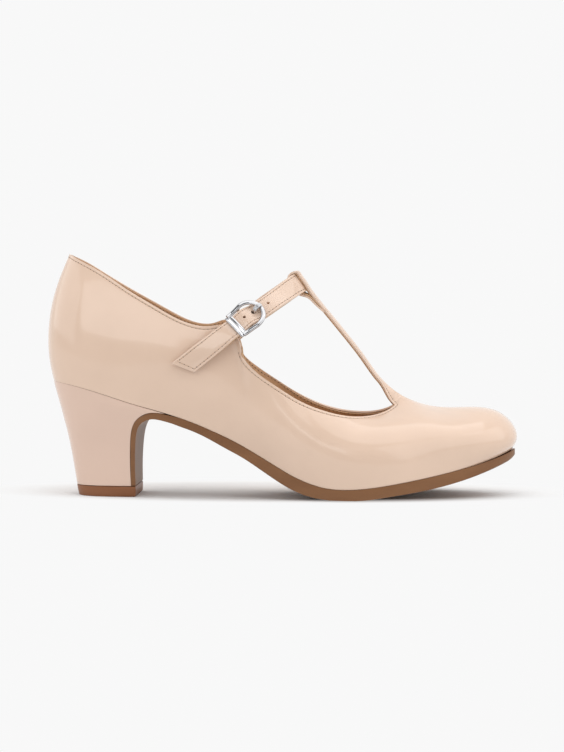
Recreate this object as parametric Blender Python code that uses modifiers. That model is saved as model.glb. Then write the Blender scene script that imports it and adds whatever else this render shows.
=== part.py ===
"""Right T-strap pump: lasted upper, covered block heel, resin sole and a buckled ankle strap.

Lengths below are millimetres from the heel's rearmost point: +X to the toe, -Y to the lateral
side, +Z up from the floor. place() moves them to the part's own frame, in metres, whose origin
is on the floor under the middle of the shoe.
"""

import math

import bmesh
import bpy
import numpy as np

MM = 0.001
ORIGIN = np.array([117.55, -0.3, 0.0])
GAP = 0.3
LOOP_EASE = 0.65

WALL = 1.5
UPPER_COLUMNS_BACK = 68
UPPER_COLUMNS_BAR = 8
UPPER_ROWS = 10
BAR_ROW_SPACING = 3.0
FOLD_ROW_SPACING = 1.5

BAR_WIDTH = 9.6
BAR_CROWN = 1.0
RETURN_CROWN = 2.6
BAR_TILT = math.radians(2.5)
BAR_FILLET = 3.2

STRAP_WIDTH = 10.4
STRAP_THICK = 2.0
STRAP_RINGS = 66
INSOLE_THICK = 2.4
FLAP_THICK = 2.0
SHANK_THICK = 3.3
SOLE_FROM = 72.0
TOP_PIECE_HEIGHT = 5.2
HEEL_INSET = 0.2
ROUND_BELOW = 0.55
SOLE_EDGE_ROUNDING = 1.6
FLAT_FROM, FLAT_TO = 143.0, 157.0

FRAME_WIDTH = 15.0
FRAME_STRAIGHT = 10.0
FRAME_WIRE = 1.9
CENTRE_BAR_WIRE = 1.7
PRONG_WIRE = 1.5
WIRE_SIDES = 10

# Height of the line where the upper meets the sole, from heel to toe.
SEAT_PROFILE = [
    # x, z
    (0.0, 58.0), (14.0, 56.0), (30.9, 51.6), (46.8, 46.6), (60.4, 42.8), (68.2, 40.3),
    (76.1, 37.4), (84.0, 34.0), (92.1, 30.3), (100.2, 26.1), (108.3, 21.5), (116.2, 16.9),
    (124.1, 12.5), (132.0, 9.1), (139.8, 6.9), (147.6, 6.1), (155.4, 6.3), (163.1, 7.1),
    (178.6, 9.6), (194.0, 12.5), (209.6, 16.0), (225.6, 20.4), (235.0, 23.6),
]

# Underside of the sole on its middle line, from the breast's curve to the toe.
SOLE_PROFILE = [
    # x, z
    (54.0, 39.6), (60.4, 38.9), (68.2, 36.2), (76.1, 33.2), (84.0, 29.2), (92.1, 24.5),
    (100.2, 19.9), (108.3, 14.6), (116.2, 9.4), (124.1, 4.9), (132.0, 1.9), (139.8, 0.4),
    (146.0, 0.0), (154.0, 0.0), (160.0, 0.3), (170.8, 1.9), (186.3, 4.6), (201.8, 8.0),
    (217.5, 12.8), (229.6, 17.6), (236.0, 20.6),
]

# One row for each rib of the upper, from the back seam line round by the lateral side, the toe
# and the medial side. A rib runs from the sole's edge to the topline.
RIBS = [
    # name, feather x, y, topline x, y, z
    ("back", 3.2, 0.0, 11.6, 0.0, 120.5),
    ("lateral_heel_1", 6.2, -13.2, 13.2, -5.8, 119.8),
    ("lateral_heel_2", 15.0, -21.4, 18.6, -10.9, 117.4),
    ("lateral_heel_3", 30.0, -25.3, 30.0, -15.8, 111.8),
    ("lateral_quarter_1", 46.0, -26.0, 44.0, -19.8, 103.2),
    ("lateral_quarter_2", 62.0, -25.3, 58.9, -22.9, 94.6),
    ("lateral_quarter_3", 77.0, -23.9, 72.0, -25.1, 87.9),
    ("lateral_quarter_4", 90.0, -23.3, 83.2, -26.3, 85.5),
    ("lateral_ear_top", 102.0, -23.8, 92.0, -26.9, 85.5),
    ("lateral_ear_front", 113.0, -26.0, 97.6, -28.2, 79.3),
    ("lateral_waist_1", 124.0, -29.0, 98.6, -28.9, 71.2),
    ("lateral_waist_2", 134.0, -32.0, 104.9, -29.8, 64.0),
    ("lateral_waist_3", 144.0, -35.0, 116.5, -30.6, 56.3),
    ("lateral_ball_1", 154.0, -37.2, 129.0, -30.0, 48.7),
    ("lateral_ball_2", 164.5, -38.2, 142.0, -27.6, 43.5),
    ("lateral_vamp_1", 175.0, -37.2, 153.5, -23.8, 41.1),
    ("lateral_vamp_2", 186.0, -34.2, 162.8, -18.9, 41.2),
    ("lateral_vamp_3", 197.0, -29.6, 170.0, -13.4, 43.0),
    ("lateral_bar_foot", 208.6, -24.0, 174.6, -8.0, 45.8),
    ("lateral_toe_1", 218.8, -17.0, 176.7, -4.9, 47.9),
    ("lateral_toe_2", 227.4, -8.0, 178.1, -2.0, 49.5),
    ("toe", 232.2, 4.0, 178.5, 0.4, 49.9),
    ("medial_toe_2", 228.8, 15.0, 178.1, 2.8, 49.5),
    ("medial_toe_1", 220.6, 23.0, 176.7, 5.7, 47.9),
    ("medial_bar_foot", 209.4, 28.8, 174.6, 8.8, 45.8),
    ("medial_vamp_3", 197.0, 33.0, 169.9, 14.2, 42.9),
    ("medial_vamp_2", 186.0, 36.3, 162.3, 19.6, 41.0),
    ("medial_vamp_1", 175.0, 37.2, 152.5, 24.2, 40.8),
    ("medial_ball_2", 164.5, 35.8, 140.5, 27.4, 42.9),
    ("medial_ball_1", 154.0, 32.4, 127.0, 28.8, 48.3),
    ("medial_waist_3", 144.0, 27.7, 114.3, 28.6, 56.0),
    ("medial_waist_2", 134.0, 23.1, 103.0, 27.7, 63.9),
    ("medial_waist_1", 124.0, 19.4, 96.6, 26.9, 71.2),
    ("medial_ear_front", 113.0, 17.0, 95.6, 26.2, 79.5),
    ("medial_ear_top", 102.0, 16.4, 90.5, 25.5, 87.0),
    ("medial_quarter_4", 90.0, 17.8, 82.3, 25.0, 85.4),
    ("medial_quarter_3", 77.0, 20.5, 71.4, 23.9, 86.2),
    ("medial_quarter_2", 62.0, 23.5, 58.4, 22.1, 92.5),
    ("medial_quarter_1", 46.0, 25.3, 43.6, 19.2, 100.9),
    ("medial_heel_3", 30.0, 25.1, 29.8, 15.5, 109.3),
    ("medial_heel_2", 15.0, 21.4, 18.6, 10.8, 116.5),
    ("medial_heel_1", 6.2, 13.2, 13.2, 5.8, 119.4),
]

# How full the upper stands out from the straight line between a rib's ends: four places, each
# the share of the way along that line and the distance out from it.
FULLNESS = {
    # rib: wall along, out, shoulder along, out, crown along, out, approach along, out
    "back": (0.13, 3.0, 0.38, 5.8, 0.63, 5.5, 0.86, 2.6),
    "lateral_heel_2": (0.15, 2.4, 0.40, 4.6, 0.65, 4.3, 0.86, 2.1),
    "lateral_quarter_1": (0.18, 2.4, 0.42, 3.9, 0.68, 3.3, 0.87, 1.6),
    "lateral_quarter_3": (0.20, 2.4, 0.45, 4.0, 0.70, 3.4, 0.88, 1.6),
    "lateral_ear_front": (0.20, 2.4, 0.45, 3.8, 0.70, 3.0, 0.88, 1.3),
    "lateral_waist_3": (0.20, 2.6, 0.45, 4.0, 0.70, 3.0, 0.88, 1.3),
    "lateral_ball_2": (0.20, 3.4, 0.45, 5.6, 0.70, 4.8, 0.88, 2.3),
    "lateral_vamp_2": (0.17, 4.9, 0.41, 8.7, 0.67, 7.6, 0.87, 3.6),
    "lateral_bar_foot": (0.08, 5.4, 0.27, 11.2, 0.55, 10.4, 0.81, 5.2),
    "toe": (0.00, 7.0, 0.19, 14.4, 0.54, 7.7, 0.82, 0.9),
    "medial_bar_foot": (0.08, 5.4, 0.27, 11.2, 0.55, 10.4, 0.81, 5.2),
    "medial_vamp_2": (0.17, 4.9, 0.41, 8.7, 0.67, 7.6, 0.87, 3.6),
    "medial_ball_2": (0.20, 3.5, 0.45, 5.9, 0.70, 5.1, 0.88, 2.4),
    "medial_waist_3": (0.20, 3.6, 0.45, 4.9, 0.70, 3.4, 0.88, 1.4),
    "medial_ear_front": (0.20, 4.0, 0.45, 5.0, 0.70, 3.6, 0.88, 1.4),
    "medial_quarter_3": (0.20, 2.8, 0.45, 4.0, 0.70, 3.2, 0.88, 1.4),
    "medial_quarter_1": (0.18, 2.2, 0.42, 3.7, 0.68, 3.2, 0.87, 1.6),
    "medial_heel_2": (0.15, 2.4, 0.40, 4.6, 0.65, 4.3, 0.86, 2.1),
}

# The T-bar's outer face from the throat to the fold over the strap, in the shoe's middle plane.
BAR_PROFILE = [
    # x, z
    (178.5, 49.9), (175.2, 52.0), (171.6, 54.9), (168.0, 58.4), (160.1, 69.0), (152.1, 79.4),
    (144.1, 89.2), (136.4, 98.6), (132.4, 104.0), (129.8, 108.0),
]
STRAP_AT_LOOP = (127.2, 106.2)
LOOP_SLOPE = math.radians(57.5)
FOLD_BACK_END = (139.6, 91.6)

# The buckle stands on the strap: the middle of its keeper bar, the way along the strap to the
# T-bar, and the way its face looks.
KEEPER = np.array([96.6, -29.8, 84.4])
BUCKLE_ALONG = np.array([0.762, 0.371, 0.531])
BUCKLE_FACE = np.array([0.0, -0.82, 0.572])
CENTRE_BAR_AT = 7.6
CENTRE_BAR_DEPTH = -1.6
STRAP_HUMP = 1.9
FRAME_END_AT = 18.0

# Middle line of the ankle strap with the direction that its outer face looks in. The stretch
# under the buckle comes between the two tables.
STRAP_FREE = [
    # x, y, z, face x, y, z
    (71.5, -30.6, 65.0, -0.06, -0.99, 0.04),
    (77.0, -30.9, 69.3, -0.06, -0.99, 0.10),
    (83.0, -31.3, 74.0, -0.06, -0.97, 0.20),
    (89.5, -31.2, 79.1, -0.05, -0.93, 0.36),
]
STRAP_UNDER_BUCKLE = (-2.0, 0.5, 3.0, 5.3, 7.6, 10.0, 12.5, 15.0, 18.0, 20.5)
STRAP_INSTEP = [
    # x, y, z, face x, y, z
    (118.2, -15.4, 100.6, 0.24, -0.72, 0.65),
    (123.8, -8.6, 104.4, 0.60, -0.42, 0.68),
    (126.6, -4.0, 105.9, 0.80, -0.12, 0.58),
    (127.3, 0.0, 106.2, 0.84, 0.0, 0.54),
    (126.6, 4.0, 105.9, 0.80, 0.12, 0.58),
    (123.6, 8.4, 104.4, 0.58, 0.44, 0.68),
    (117.2, 14.6, 100.4, 0.24, 0.70, 0.67),
    (108.6, 19.2, 94.5, 0.06, 0.84, 0.54),
    (100.0, 21.6, 87.6, 0.0, 0.93, 0.36),
    (92.5, 22.6, 81.2, 0.0, 0.97, 0.22),
    (86.0, 22.6, 75.6, 0.0, 0.99, 0.10),
]
FREE_END_SKEW = 3.3
TAB_WIDTH = 7.0
TAB_THICK = 1.0
NEARLY_PARALLEL = 0.95
TAB_FACE_IN_QUARTER = np.array([-0.05, -0.98, 0.18])

# Rings of the heel: its back, its front against the breast, and half its width.
HEEL_RINGS = [
    # back x, z, front x, z, half width
    (15.0, 5.5, 43.9, 5.5, 15.7),
    (13.3, 16.0, 43.6, 16.0, 16.7),
    (11.6, 25.5, 43.8, 25.0, 18.2),
    (9.7, 34.0, 44.5, 32.0, 20.3),
    (7.8, 41.5, 46.4, 37.4, 22.3),
    (6.2, 48.5, 50.2, 41.0, 24.0),
    (4.7, 54.0, 55.4, 42.6, 25.2),
    (3.4, 57.6, 62.0, 42.1, 25.6),
]

# The sole's upper face from the foot of the flap up the heel's front and round to the waist.
BREAST_LINE = [
    # x, z
    (44.2, 5.6), (44.0, 16.0), (44.2, 25.6), (44.9, 32.4), (46.9, 37.4), (50.8, 40.6),
    (55.4, 42.0), (60.4, 41.6), (66.0, 40.3),
]


def place(points):
    """The points in the part's own frame, in metres."""
    return (np.asarray(points, float) - ORIGIN) * MM


def unit(vectors):
    """The vectors, each with length 1."""
    vectors = np.asarray(vectors, float)
    return vectors / np.linalg.norm(vectors, axis=-1, keepdims=True)


def smooth_step(share):
    """An S-shaped rise from 0 to 1."""
    share = min(1.0, max(0.0, share))
    return share * share * (3 - 2 * share)


def spline(knots, values, at, periodic=False):
    """Natural or periodic cubic spline through values at knots, read at the places in at."""
    knots = np.asarray(knots, float)
    values = np.asarray(values, float).reshape(len(values), -1)
    if periodic:
        span = knots[-1] - knots[0]
        inner = len(knots) - 1
        turns = 3
        knots = np.concatenate([knots[:-1] + span * turn for turn in range(-turns, turns + 1)])
        values = np.tile(values[:inner], (2 * turns + 1, 1))
        at = np.mod(np.asarray(at, float), span)
    step = np.diff(knots)
    slope = np.diff(values, axis=0) / step[:, None]
    count = len(knots)
    system = np.eye(count)
    right = np.zeros_like(values)
    for row in range(1, count - 1):
        system[row, row - 1] = step[row - 1]
        system[row, row] = 2 * (step[row - 1] + step[row])
        system[row, row + 1] = step[row]
        right[row] = 6 * (slope[row] - slope[row - 1])
    bend = np.linalg.solve(system, right)
    at = np.asarray(at, float)
    seg = np.clip(np.searchsorted(knots, at, side="right") - 1, 0, count - 2)
    width = step[seg][:, None]
    left = (knots[seg + 1] - at)[:, None] / width
    rest = 1 - left
    return (
        left * values[seg]
        + rest * values[seg + 1]
        + ((left**3 - left) * bend[seg] + (rest**3 - rest) * bend[seg + 1]) * width**2 / 6
    )


def profile(table, x):
    """Height at x on a smooth line through a table of x and z."""
    table = np.asarray(table, float)
    x = np.clip(np.asarray(x, float), table[0, 0], table[-1, 0])
    return spline(table[:, 0], table[:, 1], np.atleast_1d(x))[:, 0].reshape(np.shape(x))


def seat(x):
    """Height of the upper's lower edge at x."""
    return profile(SEAT_PROFILE, x)


class Last:
    """The upper's outer face as ribs between the sole's edge and the topline."""

    def __init__(self):
        rows = np.array([row[1:] for row in RIBS])
        self.names = [row[0] for row in RIBS]
        feather = np.column_stack([rows[:, :2], seat(rows[:, 0])])
        closed = np.vstack([feather, feather[:1]])
        self.knots = np.concatenate([[0], np.cumsum(np.linalg.norm(np.diff(closed, axis=0), axis=1))])
        self.feather_rows = closed
        self.top_rows = np.vstack([rows[:, 2:], rows[:1, 2:]])
        keys = [self.names.index(name) for name in FULLNESS]
        full = np.array(list(FULLNESS.values()))
        self.full_knots = np.append(self.knots[keys], self.knots[-1])
        self.full_rows = np.vstack([full, full[:1]])

    def at(self, name):
        """Place of a named rib along the outline."""
        return self.knots[self.names.index(name)]

    def feather(self, u):
        """Points of the sole's edge."""
        points = spline(self.knots, self.feather_rows, u, periodic=True)
        points[:, 2] = seat(points[:, 0])
        return points

    def topline(self, u):
        """Points of the topline, with the throat's line carried on under the T-bar."""
        return spline(self.knots, self.top_rows, u, periodic=True)

    def outward(self, u):
        """Level directions square to the outline."""
        ahead = spline(self.knots, self.feather_rows, np.asarray(u) + 0.5, periodic=True)
        behind = spline(self.knots, self.feather_rows, np.asarray(u) - 0.5, periodic=True)
        along = ahead - behind
        return unit(np.column_stack([along[:, 1], -along[:, 0], np.zeros(len(along))]))

    def ribs(self, u, shares):
        """Grid of points, one rib for each u, read at the shares of its length."""
        low = self.feather(u)
        high = self.topline(u)
        chord = high - low
        length = np.linalg.norm(chord, axis=1, keepdims=True)
        along = chord / length
        out = self.outward(u)
        out = unit(out - (out * along).sum(1, keepdims=True) * along)
        full = spline(self.full_knots, self.full_rows, u, periodic=True)
        grid = np.empty((len(low), len(shares), 3))
        for column in range(len(low)):
            points = [low[column]]
            for part in range(4):
                share, offset = full[column, 2 * part : 2 * part + 2]
                points.append(low[column] + share * chord[column] + offset * out[column])
            points = np.array(points + [high[column]])
            knots = np.concatenate([[0], np.cumsum(np.linalg.norm(np.diff(points, axis=0), axis=1))])
            grid[column] = spline(knots, points, np.asarray(shares) * knots[-1])
        return grid


def loop_profile():
    """The T-bar's outer face in the middle plane, in three stretches: up the bar, round over the
    strap, and back beneath it.
    """
    down = np.array([math.cos(LOOP_SLOPE), -math.sin(LOOP_SLOPE)])
    face = np.array([math.sin(LOOP_SLOPE), math.cos(LOOP_SLOPE)])
    centre = np.array(STRAP_AT_LOOP)
    reach = STRAP_THICK / 2 + LOOP_EASE + WALL
    side = STRAP_WIDTH / 2 + GAP - STRAP_THICK / 2
    bar = [np.array(point) for point in BAR_PROFILE]
    bar.append(centre - down * side * 0.5 + face * reach)
    fold = []
    for degrees in range(0, 181, 30):
        turn = math.radians(degrees)
        fold.append(centre - down * (side + reach * math.sin(turn)) + face * reach * math.cos(turn))
    before = centre + down * (side + 1.0) - face * (reach + 0.1)
    end = np.array(FOLD_BACK_END)
    back = [centre - face * reach, before, before * 0.45 + end * 0.55 + face * 0.1, end]
    return bar, fold, back


def spaced(start, end, spacing):
    """Places after start, up to end, about as far apart as spacing says."""
    return np.linspace(start, end, round((end - start) / spacing))[1:]


def bar_rows(base):
    """Rows of the T-bar beyond the vamp's last row, which they follow on from."""
    bar, fold, back = loop_profile()
    path = np.array(bar + fold + back)
    knots = np.concatenate([[0], np.cumsum(np.linalg.norm(np.diff(path, axis=0), axis=1))])
    fold_start, fold_end = knots[len(bar)], knots[len(bar) + len(fold) - 1]
    at = np.concatenate([
        np.linspace(0.0, BAR_FILLET, 5)[1:],
        spaced(BAR_FILLET, fold_start, BAR_ROW_SPACING),
        spaced(fold_start, fold_end, FOLD_ROW_SPACING),
        spaced(fold_end, knots[-1], BAR_ROW_SPACING),
    ])
    line = spline(knots, path, at)
    slope = unit(spline(knots, path, np.minimum(at + 0.2, knots[-1])) - spline(knots, path, at - 0.2))
    faces = np.column_stack([slope[:, 1], -slope[:, 0]])
    faces[at > knots[len(bar) - 1]] = (math.sin(LOOP_SLOPE), math.cos(LOOP_SLOPE))
    across = np.linspace(-1, 1, len(base))
    middle = base[len(base) // 2]
    rows = []
    for place_on, (x, z), face in zip(at, line, faces):
        rise = max(0.0, BAR_FILLET - place_on)
        half = BAR_WIDTH / 2 + BAR_FILLET - math.sqrt(max(0.0, BAR_FILLET**2 - rise**2))
        blend = smooth_step(place_on / 14.0)
        folded = smooth_step((place_on - fold_start) / (fold_end - fold_start))
        crown = BAR_CROWN + (RETURN_CROWN - BAR_CROWN) * folded
        tilt = math.tan(BAR_TILT) * smooth_step((fold_start - 4.0 - place_on) / 12.0)
        row = []
        for share, start in zip(across, base):
            drop = crown * share * share - tilt * share * half
            own_y = middle[1] * (1 - blend) + share * half
            own = np.array([x - face[0] * drop, own_y, z - face[1] * drop])
            follow = np.array([x, own[1], z]) + (start - middle) * (1, 0, 1)
            row.append(own * blend + follow * (1 - blend))
        rows.append(row)
    return np.array(rows)


def upper_sheet(last):
    """Vertices and faces of the upper's outer face, T-bar included."""
    first, final = last.at("medial_bar_foot"), last.at("lateral_bar_foot")
    turn = last.knots[-1]
    back = np.linspace(first, final + turn, UPPER_COLUMNS_BACK, endpoint=False)
    bar = np.linspace(final, first, UPPER_COLUMNS_BAR, endpoint=False)
    u = np.concatenate([back, bar + turn])
    rows = UPPER_ROWS
    shares = np.linspace(0, 1, rows + 1)
    grid = last.ribs(u, shares)
    columns = len(u)
    vertices = list(grid.reshape(-1, 3))
    faces = []
    for column in range(columns):
        other = (column + 1) % columns
        for row in range(rows):
            here, there = column * (rows + 1) + row, other * (rows + 1) + row
            faces.append((here, there, there + 1, here + 1))
    foot = [column % columns for column in range(UPPER_COLUMNS_BACK, columns + 1)]
    below = [column * (rows + 1) + rows for column in foot]
    base = np.array([vertices[index] for index in below])
    for row in bar_rows(base):
        level = list(range(len(vertices), len(vertices) + len(row)))
        vertices.extend(row)
        for side in range(len(row) - 1):
            faces.append((below[side], below[side + 1], level[side + 1], level[side]))
        below = level
    return np.array(vertices), faces


def add_mesh(name, vertices, faces, material, collection):
    """A mesh object from points in shoe millimetres, linked and shaded smooth."""
    mesh = bpy.data.meshes.new(name)
    mesh.from_pydata([tuple(point) for point in place(vertices)], [], [tuple(face) for face in faces])
    mesh.update()
    body = bmesh.new()
    body.from_mesh(mesh)
    bmesh.ops.recalc_face_normals(body, faces=body.faces)
    body.to_mesh(mesh)
    body.free()
    mesh.shade_smooth()
    mesh.set_sharp_from_angle(angle=math.radians(40))
    mesh.materials.append(material)
    shape = bpy.data.objects.new(name, mesh)
    collection.objects.link(shape)
    if collection == CUTTERS:
        shape.hide_render = True
        shape.display_type = "WIRE"
    return shape


def add_loft(name, rings, material, collection=None):
    """A closed solid through rings with equal numbers of points, capped at both ends."""
    count = len(rings[0])
    vertices = np.concatenate(rings)
    faces = []
    for ring in range(len(rings) - 1):
        for point in range(count):
            here, there = ring * count + point, ring * count + (point + 1) % count
            faces.append((here, there, there + count, here + count))
    faces.append(tuple(reversed(range(count))))
    faces.append(tuple(range((len(rings) - 1) * count, len(rings) * count)))
    return add_mesh(name, vertices, faces, material, collection or SHOE)


def add_material(name, colour, roughness, metallic=0.0, coat=0.0):
    """A Principled material."""
    material = bpy.data.materials.new(name)
    material.use_nodes = True
    shader = material.node_tree.nodes["Principled BSDF"]
    shader.inputs["Base Color"].default_value = (*colour, 1.0)
    shader.inputs["Roughness"].default_value = roughness
    shader.inputs["Metallic"].default_value = metallic
    shader.inputs["Coat Weight"].default_value = coat
    return material


def build_upper(last, material):
    """The upper: its outer face thickened inwards."""
    vertices, faces = upper_sheet(last)
    vertices[:, 2] += GAP * (vertices[:, 2] <= seat(vertices[:, 0]) + 1e-6)
    mesh = bpy.data.meshes.new("upper")
    mesh.from_pydata([tuple(point) for point in place(vertices)], [], faces)
    mesh.update()
    mesh.shade_smooth()
    mesh.materials.append(material)
    shape = bpy.data.objects.new("upper", mesh)
    SHOE.objects.link(shape)
    wall = shape.modifiers.new("wall", "SOLIDIFY")
    wall.thickness = WALL * MM
    wall.offset = -1.0
    wall.use_even_offset = False
    return shape


def outline_halves(last, count, inset):
    """x with the lateral and medial y of the sole's outline, closely spaced at both ends."""
    u = np.linspace(0, last.knots[-1], 900, endpoint=False)
    loop = last.feather(u) - last.outward(u) * inset
    heel, toe = loop[:, 0].argmin(), loop[:, 0].argmax()
    loop = np.roll(loop, -heel, axis=0)
    toe = (toe - heel) % len(loop)
    lateral = loop[: toe + 1]
    medial = np.concatenate([loop[toe:], loop[:1]])[::-1]
    low, high = loop[0, 0] + 0.15, loop[toe, 0] - 0.15
    x = low + (high - low) * (1 - np.cos(np.linspace(0, math.pi, count))) / 2
    return x, np.interp(x, lateral[:, 0], lateral[:, 1]), np.interp(x, medial[:, 0], medial[:, 1])


def slab_ring(top, bottom, left, right, edge, across=9):
    """A ring across the shoe: a flat top, and an underside whose edges are rounded up."""
    middle, half = (left + right) / 2, (right - left) / 2
    places = np.sin(np.linspace(-math.pi / 2, math.pi / 2, across))
    ring = [(top[0], middle + half * share, top[1]) for share in places]
    for share in places[::-1]:
        lift = edge * (max(0.0, abs(share) - 0.4) / 0.6) ** 4
        ring.append((bottom[0], middle + half * share * 0.992, bottom[1] + lift))
    return np.array(ring)


def along_line(line, count):
    """Evenly spaced points on a smooth line, with their directions and shares of its length."""
    line = np.array(line)
    knots = np.concatenate([[0], np.cumsum(np.linalg.norm(np.diff(line, axis=0), axis=1))])
    at = np.linspace(0, knots[-1], count)
    slope = unit(spline(knots, line, at + 0.2) - spline(knots, line, at - 0.2))
    return spline(knots, line, at), slope, at / knots[-1]


def heel_half_width(z):
    """Half the heel's width at its front, at height z."""
    rows = np.array(HEEL_RINGS)
    return np.interp(z, rows[:, 3][:6], rows[:, 4][:6])


def build_outsole(last, material):
    """The sole: a flap on the heel's front, the breast's curve, the waist, ball and toe."""
    x, lateral, medial = outline_halves(last, 60, -0.2)
    line, slope, share = along_line(BREAST_LINE, 20)
    rings = []
    for (top_x, top_z), (ahead_x, ahead_z), part in zip(line, slope, share):
        thick = FLAP_THICK + (SHANK_THICK - FLAP_THICK) * part**2
        under = (top_x + ahead_z * thick, top_z - ahead_x * thick)
        blend = smooth_step((top_x - 45.0) / 20.0)
        half = float(heel_half_width(top_z)) - HEEL_INSET
        left = -half * (1 - blend) + np.interp(top_x, x, lateral) * blend
        right = half * (1 - blend) + np.interp(top_x, x, medial) * blend
        rings.append(slab_ring((top_x, top_z), under, left, right, 0.0))
    for place_x, left, right in zip(x, lateral, medial):
        if place_x < SOLE_FROM:
            continue
        top = (place_x, float(seat(place_x)))
        floor = max(0.0, float(profile(SOLE_PROFILE, place_x)))
        if FLAT_FROM < place_x < FLAT_TO:
            floor = 0.0
        edge = SOLE_EDGE_ROUNDING * smooth_step((place_x - SOLE_FROM) / 50.0)
        rings.append(slab_ring(top, (place_x, floor), left, right, edge))
    return add_loft("outsole", rings, material)


def build_insole(last, material):
    """The insole, lying on the sole and the heel inside the upper."""
    x, left, right = outline_halves(last, 32, WALL + 0.6)
    rings = []
    for index, place_x in enumerate(x):
        low = float(seat(place_x)) + GAP
        top, bottom = (place_x, low + INSOLE_THICK), (place_x, low)
        rings.append(slab_ring(top, bottom, left[index], right[index], 0.0))
    return add_loft("insole", rings, material)


def heel_ring(back, front, half, top_share, outline):
    """One ring of the heel, round at the back and flat at the front."""
    side = (1 - np.cos(np.linspace(0, math.pi / 2, 13)))[1:]
    width = (1 - (1 - side) ** 3) ** 0.4
    x = back[0] + (front[0] - back[0]) * side
    outline_x, lateral, medial = outline
    sole_left = np.interp(x, outline_x, lateral) + HEEL_INSET
    sole_right = np.interp(x, outline_x, medial) - HEEL_INSET
    left = -half * width * (1 - top_share) + sole_left * top_share
    right = half * width * (1 - top_share) + sole_right * top_share
    front_y = np.linspace(left[-1], right[-1], 7)[1:-1]
    ring_x = np.concatenate([[back[0]], x, np.full(5, front[0]), x[::-1]])
    ring_y = np.concatenate([[0.0], left, front_y, right[::-1]])
    part = (ring_x - back[0]) / (front[0] - back[0])
    level = back[1] + (front[1] - back[1]) * part
    sag = seat(ring_x) - seat(back[0]) - (seat(front[0]) - seat(back[0])) * part
    return np.column_stack([ring_x, ring_y, level + sag * top_share])


def build_heel(last, material):
    """The block heel, from the top piece to the seat."""
    outline = outline_halves(last, 76, 0.0)
    rows = np.array(HEEL_RINGS)
    keys = np.arange(len(rows))
    fine = spline(keys, rows, np.linspace(0, keys[-1], 16))
    rings = []
    for index, (back_x, back_z, front_x, front_z, half) in enumerate(fine):
        rise = index / (len(fine) - 1)
        share = max(0.0, (rise - ROUND_BELOW) / (1 - ROUND_BELOW)) ** 1.5
        rings.append(heel_ring((back_x, back_z), (front_x, front_z), half, share, outline))
    return add_loft("heel", rings, material)


def build_top_piece(last, material):
    """The lift on which the heel stands."""
    outline = outline_halves(last, 76, 0.0)
    levels = [
        # height, back, front, half width
        (0.0, 16.2, 45.6, 15.2),
        (0.5, 15.9, 46.1, 15.7),
        (TOP_PIECE_HEIGHT, 15.0, 46.2, 15.9),
    ]
    rings = [heel_ring((back, z), (front, z), half, 0.0, outline) for z, back, front, half in levels]
    return add_loft("top_piece", rings, material)


def buckle_point(along, across, height):
    """A point near the buckle: along the strap, across it to its lower edge, and out from it."""
    ahead = unit(BUCKLE_ALONG)
    face = unit(BUCKLE_FACE - (BUCKLE_FACE @ ahead) * ahead)
    return KEEPER + ahead * along + np.cross(ahead, face) * across + face * height


def strap_height(along):
    """How far the strap's middle line stands out where it passes over the centre bar."""
    return STRAP_HUMP * math.exp(-(((along - CENTRE_BAR_AT) / 4.0) ** 2))


def strap_line():
    """Middle line of the strap with the directions of its outer face, free end first."""
    rows = [list(row) for row in STRAP_FREE]
    for along in STRAP_UNDER_BUCKLE:
        point = buckle_point(along, 0.0, strap_height(along))
        rows.append([*point, *unit(BUCKLE_FACE)])
    rows += [list(row) for row in STRAP_INSTEP]
    return np.array(rows)


def swept_strip(path, faces, width, thick, chamfer=0.35, skew=0.0):
    """Rings of a flat strip along a path, its face turned as given and its first end cut askew."""
    slope = unit(np.gradient(path, axis=0))
    rings = []
    for index, point in enumerate(path):
        face = unit(faces[index] - (faces[index] @ slope[index]) * slope[index])
        across = np.cross(slope[index], face)
        half, deep = width / 2, thick / 2
        corners = [
            (chamfer - half, deep), (half - chamfer, deep),
            (half, deep - chamfer), (half, chamfer - deep),
            (half - chamfer, -deep), (chamfer - half, -deep),
            (-half, chamfer - deep), (-half, deep - chamfer),
        ]
        ring = []
        for side, height in corners:
            lean = skew * side / half if index == 0 else 0.0
            ring.append(point + across * side + face * height + slope[index] * lean)
        rings.append(np.array(ring))
    return rings


def build_strap(material):
    """The ankle strap with the hole that the prong stands in."""
    rows = strap_line()
    knots = np.concatenate([[0], np.cumsum(np.linalg.norm(np.diff(rows[:, :3], axis=0), axis=1))])
    at = np.concatenate([[0.0], np.linspace(FREE_END_SKEW + 1.2, knots[-1], STRAP_RINGS - 1)])
    line = spline(knots, rows, at)
    rings = swept_strip(line[:, :3], line[:, 3:], STRAP_WIDTH, STRAP_THICK, skew=FREE_END_SKEW)
    strap = add_loft("ankle_strap", rings, material)
    hole_radius = PRONG_WIRE / 2 + GAP
    hole = add_tube("strap_hole", prong_path()[1:], hole_radius, WIRE_SIDES, material, CUTTERS)
    cut = strap.modifiers.new("hole", "BOOLEAN")
    cut.object = hole
    cut.operation = "DIFFERENCE"
    return strap


def frame_height(along):
    """How far the buckle's wire stands out: raised at both ends, where the strap is under it."""
    return 2.3 * (1 - smooth_step(along / 4.0)) + 2.5 * smooth_step((along - 8.0) / 5.5)


def frame_path():
    """The buckle's frame: a round end towards the T-bar and a straight keeper bar."""
    half = (FRAME_WIDTH - FRAME_WIRE) / 2
    third, two_thirds = FRAME_STRAIGHT / 3, FRAME_STRAIGHT * 2 / 3
    points = [(0.0, half), (0.0, 0.0), (0.0, -half), (third, -half), (two_thirds, -half)]
    for angle in np.linspace(-math.pi / 2, math.pi / 2, 21):
        along = FRAME_STRAIGHT + (FRAME_END_AT - FRAME_STRAIGHT) * math.cos(angle)
        points.append((along, half * math.sin(angle)))
    points += [(two_thirds, half), (third, half)]
    return [buckle_point(along, across, frame_height(along)) for along, across in points]


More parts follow.
